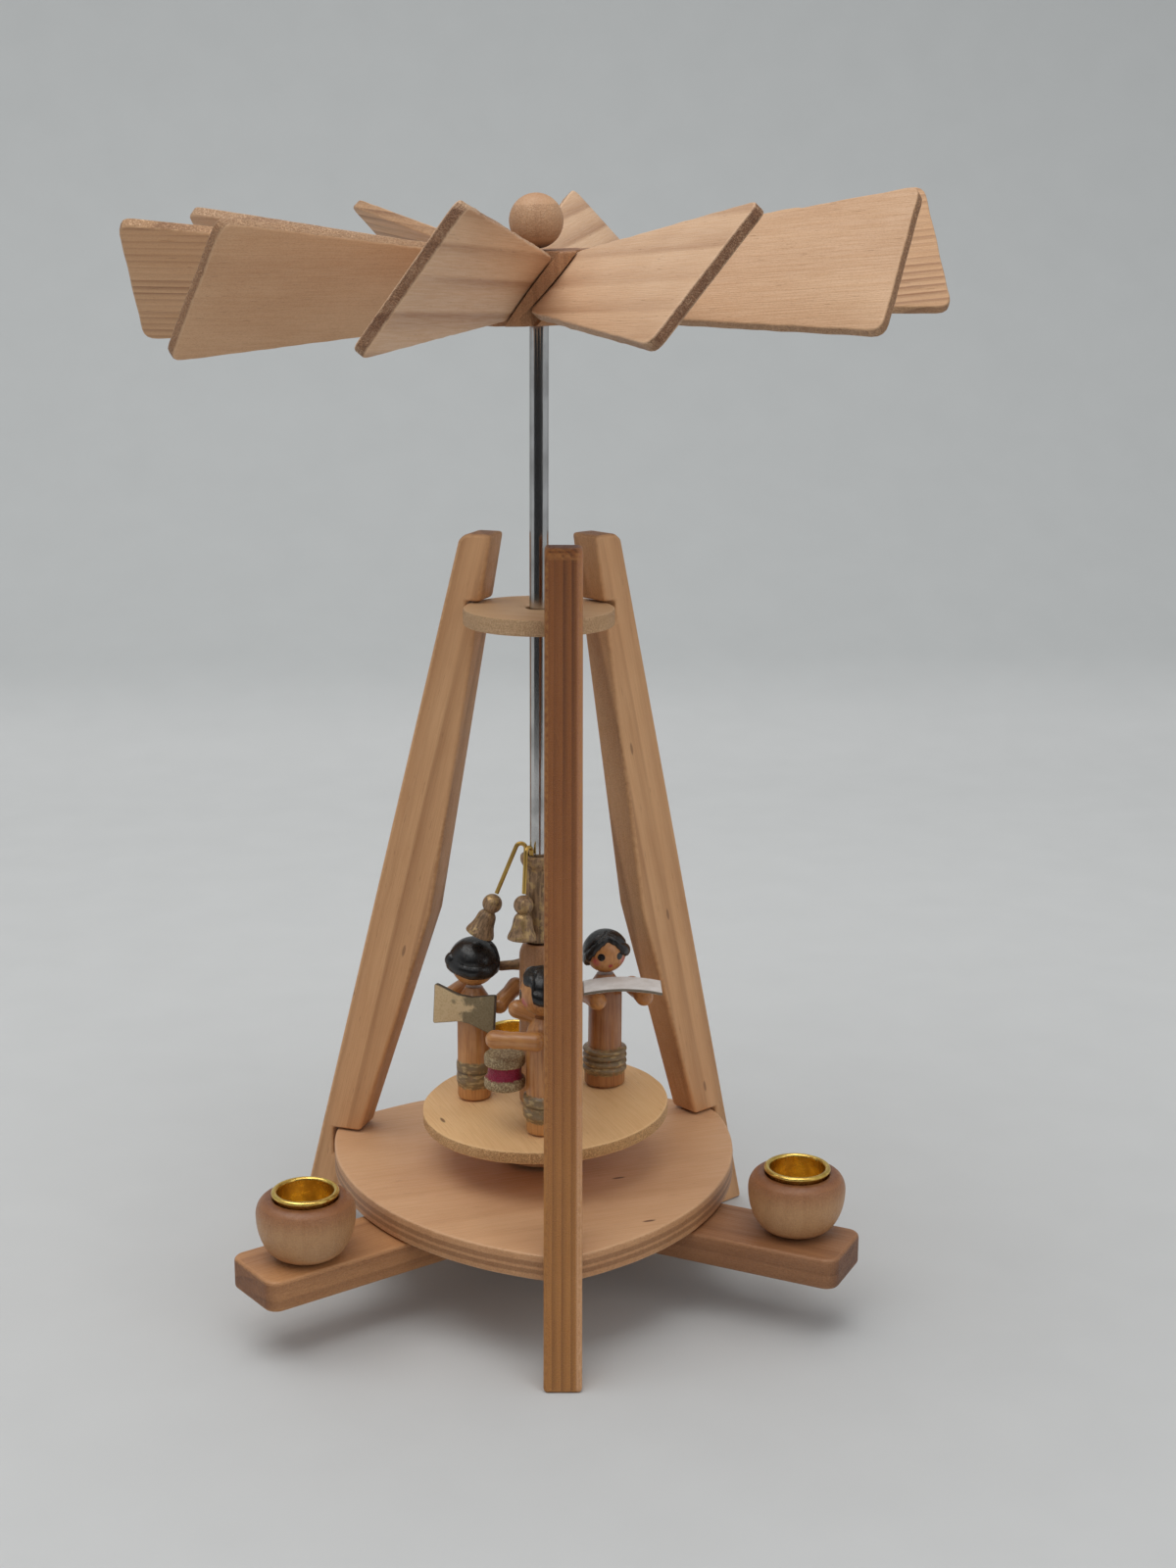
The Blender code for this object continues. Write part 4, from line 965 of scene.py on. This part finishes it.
# Where each angel's right and left hand are, in its own frame
HANDS = {
    "trumpeter": ((0.0054, 0.0046, 0.0186), (-0.0031, 0.0058, 0.0182)),
    "drummer": ((0.0043, 0.0054, 0.0187), (-0.0043, 0.0068, 0.0165)),
    "singer": ((0.0031, 0.0060, 0.0167), (-0.0049, 0.0060, 0.0167)),
}
STANDS, NECKS = {}, {}
for name, (azimuth, reach, turn_in, head_turn) in ANGELS.items():
    spot = Vector((*polar(reach, azimuth), TURNTABLE_THICKNESS / 2))
    STANDS[name] = Matrix.Translation(TABLE_FRAME @ spot) @ spin(azimuth + 180 - turn_in)
    smaller = Matrix.Scale(HEAD_RADII[name] / HEAD_RADIUS, 4)
    NECKS[name] = STANDS[name] @ lift(BODY_HEIGHT + 2 * GAP + HEAD_RADII[name]) @ spin(head_turn) @ smaller


def doll_wood(name, paint_over, pale, dark):
    """Varnished beech with grain up the piece. The paint_over adds what is painted on it."""
    made, tree, shader = new_material(name)
    place = own_frame(tree)
    streak = fractal(tree, place, 2.6, 4.0, (1.0, 1.0, 0.07))
    cloud = fractal(tree, place, 0.35, 3.0)
    colour = blend(tree, span(tree, streak, 0.4, 0.75, 0.0, 0.7), pale, dark)
    colour = shade(tree, span(tree, cloud, 0.35, 0.7, 0.0, 0.6), colour, (0.80, 0.68, 0.56))
    colour, rough, height = paint_over(tree, place, colour, streak)
    feed(tree, shader, {
        "Base Color": colour,
        "Roughness": rough,
        "Normal": bump(tree, height, 0.00004),
        "Coat Weight": 0.4,
        "Coat Roughness": 0.16,
    })
    return made


def hem_paint(tree, place, colour, streak):
    """Dull gold bands round the hem, thin and rubbed in places, with painted shade in the groove under a
    bead.
    """
    up = axis(tree, place, "Z")
    brushed = fractal(tree, place, 1.6, 4.0, (1.0, 1.0, 0.5))
    edge = calc(tree, "ADD", up, times(tree, brushed, 0.9))
    band = times(tree, span(tree, edge, 2.2, 2.5), span(tree, edge, 7.0, 6.7))
    band = times(tree, band, span(tree, brushed, 0.25, 0.45, 0.5, 1.0))
    gilt = span(tree, fractal(tree, place, 1.3, 3.0, (0.6, 0.6, 1.6)), 0.48, 0.66)
    gold = blend(tree, gilt, (0.21, 0.135, 0.06), (0.42, 0.29, 0.125))
    # Painted shade: the gold turns dark brown in a thin line at 4.55 mm, in the groove under a bead
    groove_shade = span(tree, calc(tree, "ABSOLUTE", calc(tree, "SUBTRACT", up, 4.55)), 0.0, 0.35)
    gold = blend(tree, groove_shade, (0.09, 0.06, 0.03), gold)
    height = calc(tree, "ADD", streak, times(tree, band, brushed))
    return blend(tree, band, colour, gold), span(tree, band, 0.0, 1.0, 0.36, 0.5), height


def bare(tree, place, colour, streak):
    return colour, span(tree, streak, 0.3, 0.7, 0.32, 0.46), streak


shoulders = [(NECK_RADIUS, BODY_HEIGHT)]
for across, up in arc((0.0, 0.0), 1.0, 60, 0, 10):
    slope = CHEST_HEIGHT + 0.8 * (BODY_HEIGHT - CHEST_HEIGHT) * up
    shoulders.append((NECK_RADIUS + (BODY_RADIUS - NECK_RADIUS) * across, slope))
beech = (paint(197, 138, 80), paint(157, 97, 50))
stained = (paint(169, 113, 67), paint(126, 77, 42))
sleeve = doll_wood("arm_wood", bare, *beech)
for name, (right, left) in HANDS.items():
    widest, foot = HEM_RADII[name], FOOT_RADII[name]
    bead = (HEM_TOP - HEM_BOTTOM) / (2 * HEM_BEADS[name])
    hem = [(BODY_RADIUS, HEM_TOP)]
    for number in range(HEM_BEADS[name]):
        middle = HEM_TOP - (2 * number + 1) * bead
        hem += [(widest, middle + bead / 2), (widest, middle - bead / 2)]
        hem.append(((BODY_RADIUS + widest) / 2, middle - bead))
    hem[-1] = (foot, HEM_BOTTOM)
    hem += [(foot, 0.0), (foot - FOOT_EASE, 0.0)]
    profile = [(0.0, BODY_HEIGHT)] + shoulders + soften(hem, radius=0.0004)[:-1] + [(0.0, 0.0)]
    own = shift(0.017 * len(name), 0.0, 0.0)
    piece(
        f"{name}_robe", turned(profile, steps=56), STANDS[name] @ lift(GAP),
        doll_wood(f"{name}_robe_wood", hem_paint, *(stained if name == "singer" else beech)), "carousel",
        "doll_wood", f"{name}_body", grain=own,
    )
    for side, sign, hand in (("right", 1, right), ("left", -1, left)):
        shoulder = Vector((sign * (BODY_RADIUS + GAP + ARM_RADIUS), 0.0, ARM_HEIGHT))
        length = (Vector(hand) - shoulder).length
        peg = [(r, z + length) for r, z in arc((0.0, 0.0), ARM_RADIUS, 90, 0, 12)]
        for share, above in WRIST_GROOVE:
            peg.append((share * ARM_RADIUS, WRIST * length + above))
        peg += arc((0.0, 0.0), ARM_RADIUS, 0, -90, 12)
        peg[0], peg[-1] = (0.0, length + ARM_RADIUS), (0.0, -ARM_RADIUS)
        piece(
            f"{name}_{side}_arm", turned(peg, steps=40), STANDS[name] @ along(shoulder, hand), sleeve,
            "carousel", "doll_wood", f"{name}_arm_{side}", grain=own @ shift(0.03 * sign, 0.0, 0.0),
        )


# Angels' heads: turned wooden balls with a painted doll's face: two dots, pink cheeks and a small mouth.
# The hair is thick glossy black paint over a raised cap, with a fringe and a bun behind.

HAIR_THICKNESS = 0.0004
HAIR_EDGE_THICKNESS = 0.00012
HAIR_ROLL_WIDTH = 12
COMB_DEPTH = 0.00003
BUN_RADIUS = 0.0014
BUN_LIFT = 12
CURL_WIDTH = 34
CURL_THICKNESS = 0.0003
CURL_GROOVE = 0.6
CURL_GROOVE_WIDTH = 0.12
# How low each angel's hair comes at points round the head: turn from the face to its right, then height
FRINGES = {
    "trumpeter": (
        (-180, -16), (-120, -20), (-70, 4), (-40, 28), (0, 40), (22, 20), (38, -22), (60, -28), (105, -27),
        (150, -18), (180, -16),
    ),
    "drummer": (
        (-180, -26), (-120, -20), (-95, -16), (-83, -12), (-74, 22), (-66, 28), (-47, 27), (-30, 36),
        (0, 46), (24, 30), (52, -2), (110, -18), (180, -26),
    ),
    "singer": (
        (-180, -26), (-110, -18), (-60, -8), (-38, 2), (-24, 22), (-15, 34), (8, 44), (26, 32), (36, 20),
        (52, 0), (68, -18), (90, -38), (120, -40), (150, -30), (180, -26),
    ),
}


def face_point(turn, rise, radius):
    """A point on the head, turned to its right from the face and raised, in millimetres."""
    turn, rise = math.radians(turn), math.radians(rise)
    level = math.cos(rise)
    return Vector((math.sin(turn) * level, math.cos(turn) * level, math.sin(rise))) * radius * 1000


def dab(tree, place, turn, rise, radius, soft):
    """A round dab of paint on the head."""
    centre = face_point(turn, rise, HEAD_RADIUS)
    gap = add(tree, "VectorMath", {0: place, 1: centre}, operation="DISTANCE").outputs["Value"]
    return span(tree, gap, radius + soft, radius - soft)


def face_paint(tree, place, colour, streak):
    """Two dot eyes, pink cheeks and a small red mouth on the bare wood."""
    uneven = span(tree, fractal(tree, place, 2.0, 3.0), 0.3, 0.6, 0.45, 1.0)
    for turn in (-46, 46):
        cheek = times(tree, dab(tree, place, turn, rise=-16, radius=0.7, soft=0.5), uneven)
        colour = blend(tree, cheek, colour, paint(190, 84, 92))
    lips = dab(tree, place, turn=0, rise=-27, radius=0.4, soft=0.12)
    colour = blend(tree, lips, colour, paint(168, 52, 50))
    left, right = (dab(tree, place, turn, rise=1, radius=0.72, soft=0.06) for turn in (-28, 28))
    eyes = calc(tree, "MAXIMUM", left, right)
    colour = blend(tree, eyes, colour, (0.006, 0.006, 0.007))
    height = calc(tree, "ADD", times(tree, streak, 0.5), eyes)
    return colour, span(tree, eyes, 0.0, 1.0, 0.4, 0.22), height


def hairline(fringe, turn):
    """How low the hair comes at this turn from the face."""
    for (low, start), (high, end) in zip(fringe, fringe[1:]):
        if low <= turn <= high:
            share = (turn - low) / (high - low)
            return start + (end - start) * (1 - math.cos(math.pi * share)) / 2
    return fringe[0][1]


def hair_cap(fringe):
    """A cap of hair over the head with a rolled lower edge and combed furrows, and a bun behind."""
    bm = bmesh.new()
    bmesh.ops.create_uvsphere(bm, u_segments=96, v_segments=48, radius=1.0)
    everything = bm.verts[:] + bm.edges[:] + bm.faces[:]
    bmesh.ops.bisect_plane(bm, geom=everything, plane_co=(0, 0, -0.01), plane_no=(0, 0, -1), clear_outer=True)
    hem = [edge for edge in bm.edges if edge.is_boundary]
    for vert in bm.verts:
        rise = math.degrees(math.asin(max(-1.0, min(1.0, vert.co.z))))
        turn = math.degrees(math.atan2(vert.co.x, vert.co.y))
        low = hairline(fringe, turn)
        rise = low + (90 - low) * max(0.0, rise) / 90
        roll = min(1.0, (rise - low) / HAIR_ROLL_WIDTH)
        comb = COMB_DEPTH * math.sin(math.radians(9 * turn) + 5 * math.sin(math.radians(2 * rise)))
        thick = HAIR_EDGE_THICKNESS + HAIR_THICKNESS * math.sqrt(roll * (2 - roll))
        thick += comb * roll * math.cos(math.radians(rise))
        curl = (rise - low) / CURL_WIDTH
        groove = CURL_GROOVE * math.exp(-(((curl - 1.0) / CURL_GROOVE_WIDTH) ** 2))
        thick += CURL_THICKNESS * (math.sin(math.pi * min(1.0, curl)) - groove)
        vert.co = face_point(turn, rise, HEAD_RADIUS + thick) / 1000
    for vert in only_verts(bmesh.ops.extrude_edge_only(bm, edges=hem)["geom"]):
        vert.co *= 0.85
    bmesh.ops.holes_fill(bm, edges=[edge for edge in bm.edges if edge.is_boundary], sides=0)
    reach = HEAD_RADIUS + HAIR_THICKNESS - BUN_RADIUS / 2
    middle = Matrix.Translation(face_point(180, BUN_LIFT, reach) / 1000)
    bmesh.ops.create_uvsphere(bm, u_segments=32, v_segments=20, radius=BUN_RADIUS, matrix=middle)
    return bm


black, tree, shader = new_material("hair_black")
place = own_frame(tree)
strands = fractal(tree, place, 3.0, 3.0, (1.0, 1.0, 0.25))
rub = span(tree, fractal(tree, place, 1.2, 4.0), 0.66, 0.8)
feed(tree, shader, {
    "Base Color": blend(tree, rub, (0.009, 0.008, 0.008), (0.04, 0.033, 0.03)),
    "Roughness": span(tree, strands, 0.3, 0.7, 0.26, 0.4),
    "Normal": bump(tree, strands, 0.00005),
    "Coat Weight": 0.2,
    "Coat Roughness": 0.15,
})
skin = doll_wood("face_wood", face_paint, *beech)
for name, fringe in FRINGES.items():
    piece(f"{name}_face", ball(HEAD_RADIUS), NECKS[name], skin, "carousel", "doll_wood", f"{name}_head")
    piece(f"{name}_hair_cap", hair_cap(fringe), NECKS[name], black, "carousel", "black_paint", f"{name}_hair")


# Wings: a bow tie of thin veneer glued across the back, brushed with thin gold paint, pale beige in patches
# and olive in others.
# The saw left its edges dark. Only the trumpeter and the drummer show a pair.

WING_SPAN = 0.011
WING_TIP_HEIGHT = 0.007
WING_WAIST_HEIGHT = 0.0046
WING_WAIST_WIDTH = 0.0022
WING_THICKNESS = 0.0008
WING_HEIGHT = 0.0165
WING_ROLL = 3

half, waist = WING_SPAN / 2, WING_WAIST_WIDTH / 2
tip, pinch = WING_TIP_HEIGHT / 2, WING_WAIST_HEIGHT / 2
outline = [(-half, -tip), (-waist, -pinch), (waist, -pinch), (half, -tip)]
outline += [(half, tip), (waist, pinch), (-waist, pinch), (-half, tip)]
outline = sawn(soften(outline, radius=0.0005, closed=True), step=0.0008, waver=0.00006, seed=9.0)
gilded, tree, shader = new_material("wing_gilding")
place = own_frame(tree)
# The wings turn more olive towards their +X end
sideways = times(tree, axis(tree, place, "X"), 0.05)
patch = calc(tree, "ADD", fractal(tree, place, 0.45, 4.0), sideways)
speck = fractal(tree, place, 4.0, 4.0)
colour = blend(tree, span(tree, patch, 0.45, 0.6), paint(208, 180, 138), paint(134, 118, 88))
colour = shade(tree, span(tree, speck, 0.45, 0.7, 0.0, 0.6), colour, (0.75, 0.68, 0.55))
dark = calc(tree, "MAXIMUM", mark(tree, "rim"), times(tree, mark(tree, "worn"), 0.7))
feed(tree, shader, {
    "Base Color": blend(tree, dark, colour, (0.10, 0.075, 0.045)),
    "Metallic": span(tree, patch, 0.4, 0.7, 0.05, 0.25),
    "Roughness": span(tree, speck, 0.3, 0.7, 0.42, 0.62),
    "Normal": bump(tree, speck, 0.00008),
})
back = BODY_RADIUS + GAP + WING_THICKNESS / 2
for name in ("trumpeter", "drummer"):
    piece(
        f"{name}_veneer_wings", board(outline, WING_THICKNESS, ease=0.00012),
        STANDS[name] @ shift(0.0, -back, WING_HEIGHT) @ tilt(WING_ROLL, "Y") @ STAND_ON_EDGE, gilded,
        "carousel", "wing_paint", f"{name}_wings",
    )


# Instruments: a turned drum with a crimson waist between bronzed rims, a bronzed horn at the trumpeter's
# mouth, and a curled sheet of card that the singer holds on both hands. All are glued in place.

DRUM_RADIUS = 0.0033
DRUM_WAIST_RADIUS = 0.0027
DRUM_RIM_HEIGHT = 0.0018
DRUM_HEIGHT = 0.0057
TRUMPET_LENGTH = 0.0062
TRUMPET_TUBE_RADIUS = 0.0008
TRUMPET_MOUTH_RADIUS = 0.0017
TRUMPET_MOUTH_DEPTH = 0.0012
TRUMPET_LIP = 0.0003
SHEET_WIDTH = 0.0128
SHEET_DEPTH = 0.0062
SHEET_THICKNESS = 0.0005
SHEET_SAG = 0.0007
SHEET_FORWARD = 0.0066
SHEET_SIDE = -0.0010
SHEET_TURN = -15

drum_coat, tree, shader = new_material("drum_paint")
place = own_frame(tree)
up = axis(tree, place, "Z")
brushed = fractal(tree, place, 1.8, 4.0)
speck = span(tree, fractal(tree, place, 3.4, 5.0), 0.4, 0.64)
wavy = calc(tree, "ADD", up, times(tree, calc(tree, "SUBTRACT", brushed, 0.5), 0.7))
waist = times(tree, span(tree, wavy, 1.7, 1.9), span(tree, wavy, 4.0, 3.8))
crimson = blend(tree, brushed, (0.40, 0.018, 0.062), (0.20, 0.008, 0.03))
bronzed = blend(tree, speck, (0.26, 0.17, 0.085), (0.55, 0.43, 0.25))
feed(tree, shader, {
    "Base Color": blend(tree, waist, bronzed, crimson),
    "Metallic": times(tree, calc(tree, "SUBTRACT", 1.0, waist), 0.2),
    "Roughness": span(tree, waist, 0.0, 1.0, 0.5, 0.3),
    "Normal": bump(tree, calc(tree, "ADD", speck, brushed), 0.00008),
})
lower, upper = DRUM_RIM_HEIGHT, DRUM_HEIGHT - DRUM_RIM_HEIGHT
profile = [(0.0, DRUM_HEIGHT), (DRUM_RADIUS, DRUM_HEIGHT), (DRUM_RADIUS, upper), (DRUM_WAIST_RADIUS, upper)]
profile += [(DRUM_WAIST_RADIUS, lower), (DRUM_RADIUS, lower), (DRUM_RADIUS, 0.0), (0.0, 0.0)]
piece(
    "painted_drum", turned(soften(profile, radius=0.0006), steps=56),
    STANDS["drummer"] @ shift(0.0, BODY_RADIUS + GAP + DRUM_RADIUS, HEM_TOP + 2 * GAP), drum_coat,
    "carousel", "drum_red", "drum",
)
taper = TRUMPET_MOUTH_RADIUS - TRUMPET_TUBE_RADIUS
profile = [
    (0.0, TRUMPET_LENGTH - TRUMPET_MOUTH_DEPTH),
    (TRUMPET_MOUTH_RADIUS - TRUMPET_LIP, TRUMPET_LENGTH),
    (TRUMPET_MOUTH_RADIUS, TRUMPET_LENGTH),
    (TRUMPET_TUBE_RADIUS + 0.35 * taper, 0.72 * TRUMPET_LENGTH),
    (TRUMPET_TUBE_RADIUS, 0.4 * TRUMPET_LENGTH),
    (TRUMPET_TUBE_RADIUS, 0.0),
    (0.0, 0.0),
]
mouth = Vector((0.0, HEAD_RADIUS + GAP, -HEAD_RADIUS / 4))
piece(
    "bronzed_horn", turned(soften(profile, radius=0.0004), steps=40),
    NECKS["trumpeter"] @ along(mouth, mouth + Vector((0.0, 1.0, 0.0))), bronze, "carousel", "bronze_paint",
    "trumpet",
)
card, tree, shader = new_material("song_card")
place = own_frame(tree)
pulp = fractal(tree, place, 5.0, 4.0)
age = fractal(tree, place, 0.5, 3.0)
colour = blend(tree, span(tree, age, 0.3, 0.7), paint(244, 240, 237), paint(230, 224, 219))
dark = calc(tree, "MAXIMUM", mark(tree, "rim"), times(tree, mark(tree, "worn"), 0.5))
feed(tree, shader, {
    "Base Color": blend(tree, dark, colour, (0.20, 0.17, 0.13)),
    "Roughness": span(tree, pulp, 0.3, 0.7, 0.6, 0.8),
    "Normal": bump(tree, pulp, 0.00003),
})
half, deep = SHEET_WIDTH / 2, SHEET_DEPTH / 2
outline = [(half * (k / 12 - 1), -deep) for k in range(25)] + [(half * (1 - k / 12), deep) for k in range(25)]
sheet_bm = board(outline, SHEET_THICKNESS, ease=0.0001)
everything = sheet_bm.verts[:] + sheet_bm.edges[:] + sheet_bm.faces[:]
bmesh.ops.bisect_plane(sheet_bm, geom=everything, plane_co=(0, 0, 0), plane_no=(1, 0, 0))
for vert in sheet_bm.verts:
    vert.co.z += SHEET_THICKNESS / 2 - SHEET_SAG * (vert.co.x / half) ** 2
height = HANDS["singer"][0][2] + ARM_RADIUS + GAP + SHEET_SAG
piece(
    "singer_song_card", sheet_bm,
    STANDS["singer"] @ shift(SHEET_SIDE, SHEET_FORWARD, height) @ spin(SHEET_TURN), card, "carousel",
    "paper", "song_sheet",
)


# Stage: a pale matt table that sweeps up into a pale grey wall, two large soft lamps and an even room light.
# None of it belongs to the object.

SWEEP_FRONT = -0.9
SWEEP_BACK = 0.62
SWEEP_RADIUS = 0.30
SWEEP_HEIGHT = 1.3
SWEEP_HALF_WIDTH = 1.3


def pulled(name, line, way):
    """A sheet made by pulling a line of points along a vector."""
    bm = bmesh.new()
    verts = [bm.verts.new(point) for point in line]
    edges = [bm.edges.new(pair) for pair in zip(verts, verts[1:])]
    drawn = bmesh.ops.extrude_edge_only(bm, edges=edges)["geom"]
    bmesh.ops.translate(bm, vec=way, verts=only_verts(drawn))
    bmesh.ops.recalc_face_normals(bm, faces=bm.faces[:])
    return show(name, to_mesh(name, bm))


bend = SWEEP_BACK - SWEEP_RADIUS
side_line = [(SWEEP_FRONT, 0.0)] + arc((bend, SWEEP_RADIUS), SWEEP_RADIUS, -90, 0, 24)
side_line = [(-SWEEP_HALF_WIDTH, y, z) for y, z in side_line + [(SWEEP_BACK, SWEEP_HEIGHT)]]
sweep = pulled("studio_sweep", side_line, (2 * SWEEP_HALF_WIDTH, 0.0, 0.0))
sweep.data.shade_smooth()
matt, tree, shader = new_material("sweep_paper")
place = add(tree, "TexCoord").outputs["Object"]
tooth = fractal(tree, place, 60.0, 5.0)
paper = blend(tree, tooth, (0.55, 0.555, 0.555), (0.59, 0.595, 0.595))
wall = blend(tree, tooth, (0.465, 0.475, 0.475), (0.495, 0.505, 0.505))
feed(tree, shader, {
    "Base Color": blend(tree, span(tree, axis(tree, place, "Z"), 0.002, 0.024), paper, wall),
    "Roughness": 0.85,
    "Specular IOR Level": 0.2,
})
sweep.data.materials.append(matt)


# A dark card standing well in front of it shows only in polished metal, as a stripe down the shaft.

CARD_REACH = 0.42
CARD_HEIGHT = 0.30

card_foot = [(x, y, 0.002) for x, y in arc((0.0, 0.0), CARD_REACH, -156, -50, 24)]
dark_card = pulled("dark_card", card_foot, (0.0, 0.0, CARD_HEIGHT))
felt, tree, shader = new_material("card_felt")
place = add(tree, "TexCoord").outputs["Object"]
lint = fractal(tree, place, 90.0, 4.0)
colour = blend(tree, lint, (0.02, 0.02, 0.022), (0.05, 0.05, 0.052))
feed(tree, shader, {"Base Color": colour, "Roughness": 0.9})
dark_card.data.materials.append(felt)
for ray in ("camera", "diffuse", "shadow", "transmission"):
    setattr(dark_card, "visible_" + ray, False)


def soft_lamp(name, spot, target, size, power, colour):
    """A square soft lamp aimed at a point."""
    data = bpy.data.lights.new(name, "AREA")
    data.size, data.energy, data.color = size, power, colour
    show(name, data).matrix_world = along(spot, 2 * Vector(spot) - Vector(target))


soft_lamp("top_lamp", (-0.15, -0.05, 0.95), (0.0, 0.0, 0.05), size=1.0, power=6.6, colour=(1.0, 0.99, 0.97))
soft_lamp("front_lamp", (0.55, -0.75, 0.55), (0.0, 0.0, 0.09), size=0.6, power=1.1, colour=(1.0, 0.98, 0.96))

world = bpy.data.worlds.new("room_light")
bpy.context.scene.world = world
world.use_nodes = True
light = world.node_tree.nodes["Background"]
light.inputs["Color"].default_value = (0.93, 0.97, 1.0, 1.0)
light.inputs["Strength"].default_value = 0.48

CAMERA_PLACE = (-0.0352, -0.3485, 0.1696)
CAMERA_TURN, CAMERA_DIP, CAMERA_ROLL = -0.1230, 0.2430, 0.0056

camera = bpy.data.cameras.new("camera")
camera.lens = 51.96
camera.sensor_width = 36.0
camera.clip_start = 0.01
viewer = show("camera", camera)
aim = Matrix.Rotation(CAMERA_TURN, 4, "Z") @ Matrix.Rotation(math.pi / 2 - CAMERA_DIP, 4, "X")
viewer.matrix_world = Matrix.Translation(CAMERA_PLACE) @ aim @ Matrix.Rotation(CAMERA_ROLL, 4, "Z")
bpy.context.scene.camera = viewer
bpy.context.scene.view_settings.view_transform = "Standard"
